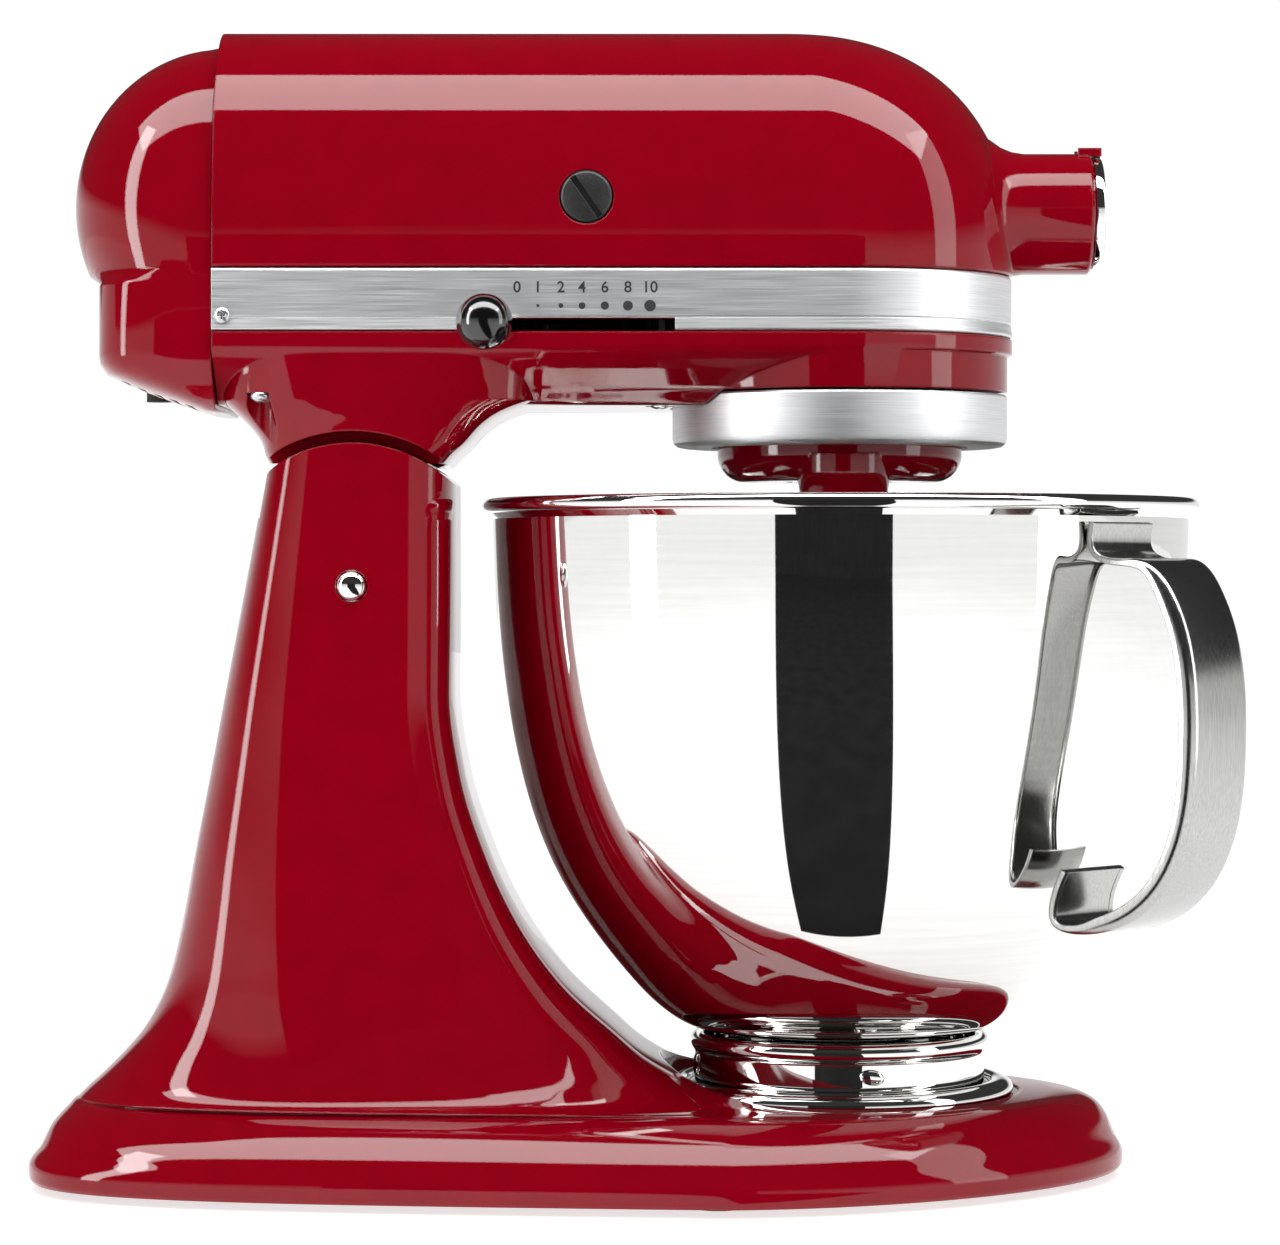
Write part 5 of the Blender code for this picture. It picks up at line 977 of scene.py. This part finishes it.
# %% Copies on points
def points(name, places):
    """A mesh of points from (place, facing, size) rows."""
    mesh = bpy.data.meshes.new(name)
    mesh.from_pydata([place for place, _, _ in places], [], [])
    for label, kind, column in (("facing", "FLOAT_VECTOR", 1), ("size", "FLOAT_VECTOR", 2)):
        held = mesh.attributes.new(label, kind, "POINT")
        held.data.foreach_set("vector", [number for row in places for number in row[column]])
    made = bpy.data.objects.new(name, mesh)
    bpy.context.scene.collection.objects.link(made)
    return made


def copies(name, places, shape, material, body, slot, *stands_for, **sizes):
    """One plain mesh of shape(tree, inputs) on each point, as a piece."""
    tree = bpy.data.node_groups.new(name, "GeometryNodeTree")
    tree.interface.new_socket("Points", in_out="INPUT", socket_type="NodeSocketGeometry")
    for label in sizes:
        tree.interface.new_socket(label.replace("_", " "), in_out="INPUT", socket_type="NodeSocketFloat")
    tree.interface.new_socket("Copies", in_out="OUTPUT", socket_type="NodeSocketGeometry")
    given = tree.nodes.new("NodeGroupInput").outputs
    facing = add(
        tree, "GeometryNodeInputNamedAttribute", {"data_type": "FLOAT_VECTOR"}, Name="facing",
    ).outputs[0]
    size = add(tree, "GeometryNodeInputNamedAttribute", {"data_type": "FLOAT_VECTOR"}, Name="size").outputs[0]
    turn = add(tree, "FunctionNodeAlignRotationToVector", {"axis": "Z"}, Vector=facing).outputs[0]
    set_out = add(
        tree, "GeometryNodeInstanceOnPoints", Points=given["Points"], Instance=shape(tree, given),
        Rotation=turn, Scale=size,
    )
    real = add(tree, "GeometryNodeRealizeInstances", Geometry=set_out.outputs[0])
    painted = add(tree, "GeometryNodeSetMaterial", Geometry=real.outputs[0], Material=material)
    out = tree.nodes.new("NodeGroupOutput")
    tree.links.new(painted.outputs[0], out.inputs[0])
    cloud = points(name + "_points", places)
    change = cloud.modifiers.new("copies", "NODES")
    change.node_group = tree
    for socket in tree.interface.items_tree:
        label = socket.name.replace(" ", "_")
        if socket.in_out == "INPUT" and label in sizes:
            change[socket.identifier] = sizes[label]
    cloud.update_tag()
    graph = bpy.context.evaluated_depsgraph_get()
    mesh = bpy.data.meshes.new_from_object(cloud.evaluated_get(graph))
    cloud.modifiers.clear()
    bpy.data.objects.remove(cloud)
    made = bpy.data.objects.new(name, mesh)
    bpy.context.scene.collection.objects.link(made)
    mesh.shade_smooth()
    mesh.set_sharp_from_angle(angle=math.radians(40))
    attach(made, body)
    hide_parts(*stands_for)
    print(f"{name}: {len(places)} copies, {len(mesh.polygons)} faces")
    return made


def screw_head(tree, given):
    """A pan head with a crossed recess: a squashed ball, less two crossed bars."""
    ball = add(tree, "GeometryNodeMeshUVSphere", Segments=40, Rings=24, Radius=1.0).outputs["Mesh"]
    flat = add(
        tree, "ShaderNodeCombineXYZ", X=given["Head radius"], Y=given["Head radius"],
        Z=given["Head height"],
    ).outputs[0]
    head = add(tree, "GeometryNodeTransform", Geometry=ball, Scale=flat).outputs[0]
    bars = []
    for long_side, short_side in (("X", "Y"), ("Y", "X")):
        size = add(
            tree, "ShaderNodeCombineXYZ",
            **{
                long_side: given["Recess length"], short_side: given["Recess width"],
                "Z": given["Head height"],
            }
        )
        bar = add(tree, "GeometryNodeMeshCube", Size=size.outputs[0]).outputs["Mesh"]
        lift = add(tree, "ShaderNodeCombineXYZ", Z=given["Head height"]).outputs[0]
        bars.append(add(tree, "GeometryNodeTransform", Geometry=bar, Translation=lift).outputs[0])
    cutting = add(tree, "GeometryNodeMeshBoolean", {"operation": "DIFFERENCE", "solver": "EXACT"}, _0=head)
    for bar in bars:
        tree.links.new(bar, cutting.inputs[1])
    return cutting.outputs[0]


def disc(tree, given):
    return add(
        tree, "GeometryNodeMeshCylinder", Vertices=48, Radius=1.0, Depth=given["Thickness"],
    ).outputs["Mesh"]


def dome(tree, given):
    ball = add(
        tree, "GeometryNodeMeshUVSphere", Segments=32, Rings=20, Radius=given["Radius"],
    ).outputs["Mesh"]
    return add(tree, "GeometryNodeTransform", Geometry=ball, Scale=(1.0, 1.0, 0.55)).outputs[0]


# %% Screws, bumps and dots
whole = (1, 1, 1)
pan = {"Head_radius": 0.0037, "Head_height": 0.0021, "Recess_length": 0.0042, "Recess_width": 0.0009}
under_screws = [((x, y, seat - 0.0008), (0, 0, -1), whole) for x, y, seat in screw_seats]
copies("gearcase_screws", under_screws, screw_head, zinc, "head", "zinc_screws", "housing_screw_rear_left",
       "housing_screw_rear_right", "housing_screw_keel", **pan)
copies(
    "cover_screw", [((-0.1595, 0, 0.26075), (-1, 0, 0), whole)], screw_head, zinc, "head", "zinc_screws",
    "rear_cover_screw", **pan
)
plate_rows = [
    ((BOWL_X + 0.030 * math.cos(turn), 0.030 * math.sin(turn), seat + 0.0019), (0, 0, 1), whole)
    for turn in screw_turns
]
copies(
    "clamp_plate_screws", plate_rows, screw_head, zinc, "base", "zinc_screws", "plate_screw_1",
    "plate_screw_2", "plate_screw_3", **{**pan, "Head_radius": 0.0040}
)
bump_rows = []
for number in range(4):
    turn = math.radians(90 * number - 80)
    place = (BOWL_X + FOOT_RADIUS * math.cos(turn), FOOT_RADIUS * math.sin(turn), 0.0347)
    bump_rows.append((place, (math.cos(turn), math.sin(turn), 0), (1.6, 1, 1)))
copies("locking_bumps", bump_rows, dome, polished, "bowl", "polished_steel", Radius=0.0024)
band_ends = [((SEAM + 0.0032, side * (HALF - 0.0002), 0.2635), (0, side, 0), whole) for side in (-1, 1)]
copies(
    "band_screws", band_ends, screw_head, zinc, "head", "zinc_screws",
    **{**pan, "Head_radius": 0.0024, "Head_height": 0.0011, "Recess_length": 0.0026, "Recess_width": 0.0006}
)

SPEEDS = {
    "0": (-0.0307, 0),
    "1": (-0.0245, 0.00043),
    "2": (-0.0176, 0.00071),
    "4": (-0.0113, 0.00100),
    "6": (-0.0045, 0.00123),
    "8": (0.0024, 0.00148),
    "10": (0.0090, 0.00171),
}
speed_x = {label: x for label, (x, _) in SPEEDS.items()}
face_y = -(HALF - 0.0003)
dot_rows = [
    ((speed_x[label], face_y, 0.2664), (0, -1, 0), (radius, radius, 1))
    for label, (_, radius) in SPEEDS.items() if radius
]
copies("speed_dots", dot_rows, disc, ink, "head", "black_plastic", Thickness=0.00012)

# %% [markdown]
# ## Speed scale
# The figures are screen printed on the band. Each is a text curve made into a mesh, then all are joined as
# one piece of ink that stands a twentieth of a millimetre off the metal.

# %% Figures of the speed scale
FIGURE_HEIGHT = 0.0047
INK_HALF_THICKNESS = 0.00005
STROKE_GROWTH = 0.00006
printed = bmesh.new()
for label, x in speed_x.items():
    curve = bpy.data.curves.new("figure", "FONT")
    curve.body = label
    curve.size = FIGURE_HEIGHT
    curve.align_x = "CENTER"
    curve.extrude = INK_HALF_THICKNESS
    curve.offset = STROKE_GROWTH
    figure = bpy.data.objects.new("figure", curve)
    bpy.context.scene.collection.objects.link(figure)
    mesh = bpy.data.meshes.new_from_object(figure.evaluated_get(bpy.context.evaluated_depsgraph_get()))
    mesh.transform(Matrix.Translation((x, face_y, 0.2704)) @ Matrix.Rotation(math.pi / 2, 4, "X"))
    printed.from_mesh(mesh)
    bpy.data.objects.remove(figure)
piece("speed_figures", printed, ink, "head", "black_plastic")

# %% [markdown]
# ## Studio
# A pale sweep, a long soft light overhead and a tall one at each side. The bowl is a mirror, so what stands
# round it is part of its look: a bright room at the sides, and a dark panel behind the viewer that the bowl
# shows as a dark strip down its middle.

# %% Floor, panel, lights and camera
floor_finish, tree, shader, place = finish("pale_sweep", Roughness=0.9, Specular_IOR_Level=0.0,
                                           Emission_Color=(1, 1, 1, 1), Emission_Strength=0.72)
tree.links.new(tint(tree, grain(tree, place, 0.3), "BEBEBE", "C4C4C4"), shader.inputs["Base Color"])
bm = bmesh.new()
bmesh.ops.create_grid(bm, x_segments=4, y_segments=4, size=9)
floor = mesh_object("sweep", bm)
floor.data.materials.append(floor_finish)

panel_finish, tree, shader, place = finish("black_felt", Roughness=1.0, Specular_IOR_Level=0.0)
tree.links.new(tint(tree, grain(tree, place, 0.05), "222222", "282828"), shader.inputs["Base Color"])
bm = bmesh.new()
near_left, near_right = bm.verts.new((0.036, -0.104, 0.002)), bm.verts.new((0.092, -0.104, 0.002))
far_left, far_right = bm.verts.new((-0.90, -2.3, 0.002)), bm.verts.new((0.64, -2.3, 0.002))
top_left, top_right = bm.verts.new((-0.90, -2.3, 0.62)), bm.verts.new((0.64, -2.3, 0.62))
bm.faces.new((near_left, near_right, far_right, far_left))
bm.faces.new((far_left, far_right, top_right, top_left))
panel = mesh_object("dark_panel", bm)
panel.data.materials.append(panel_finish)
panel.visible_camera = panel.visible_shadow = panel.visible_diffuse = False


def softbox(name, place, aim, wide, high, brightness, shows, lights):
    """A rectangle of light. brightness is what a mirror shows of it, where white is 1. It may only show in
    gloss, or only light what is matt, as a flagged lamp does."""
    lamp = bpy.data.lights.new(name, "AREA")
    lamp.shape, lamp.size, lamp.size_y = "RECTANGLE", wide, high
    lamp.energy = brightness * math.pi * wide * high
    made = bpy.data.objects.new(name, lamp)
    made.location = place
    made.rotation_euler = (Vector(aim) - Vector(place)).to_track_quat("-Z", "Y").to_euler()
    made.visible_camera, made.visible_glossy, made.visible_diffuse = False, shows, lights
    bpy.context.scene.collection.objects.link(made)


softbox("overhead", (0.0, -0.42, 1.25), (0.0, 0.0, 0.3), 2.6, 0.50, 8.5, True, False)
softbox("left", (-1.25, -0.55, 0.60), (0.0, 0.0, 0.2), 0.26, 1.5, 12.0, True, False)
softbox("right", (1.30, -0.45, 0.60), (0.0, 0.0, 0.2), 0.40, 1.5, 3.5, True, False)
softbox("fill", (0.0, -0.3, 1.7), (0.0, 0.0, 0.2), 2.4, 2.4, 1.6, False, True)

world = bpy.data.worlds.new("bright_room")
bpy.context.scene.world = world
world.use_nodes = True
tree = world.node_tree
backdrop = tree.nodes["Background"]
MATT_BRIGHTNESS = 0.72
SEEN_BRIGHTNESS = 1.05
rays = add(tree, "ShaderNodeLightPath").outputs
upward = add(
    tree, "ShaderNodeSeparateXYZ", Vector=add(tree, "ShaderNodeTexCoord").outputs["Generated"],
).outputs["Z"]
# The walls are bright up to the horizon and dark above, so that only the soft lights show in the enamel.
walls = spread(tree, upward, 0.88, 0.04, 0.10, 0.17)
matt = add(
    tree, "ShaderNodeMapRange", _0=rays["Is Diffuse Ray"], _1=0.0, _2=1.0, _3=walls, _4=MATT_BRIGHTNESS,
).outputs[0]
seen = add(
    tree, "ShaderNodeMapRange", _0=rays["Is Camera Ray"], _1=0.0, _2=1.0, _3=matt, _4=SEEN_BRIGHTNESS,
).outputs[0]
tree.links.new(seen, backdrop.inputs["Strength"])
backdrop.inputs["Color"].default_value = (1, 1, 1, 1)
bpy.context.scene.view_settings.view_transform = "Standard"

lens = bpy.data.cameras.new("camera")
lens.lens, lens.sensor_width = 119.1, 36
camera = bpy.data.objects.new("camera", lens)
camera.location = (0.006, -1.317, 0.1851)
camera.rotation_euler = (math.radians(90 - 0.602), 0, 0)
bpy.context.scene.collection.objects.link(camera)
bpy.context.scene.camera = camera
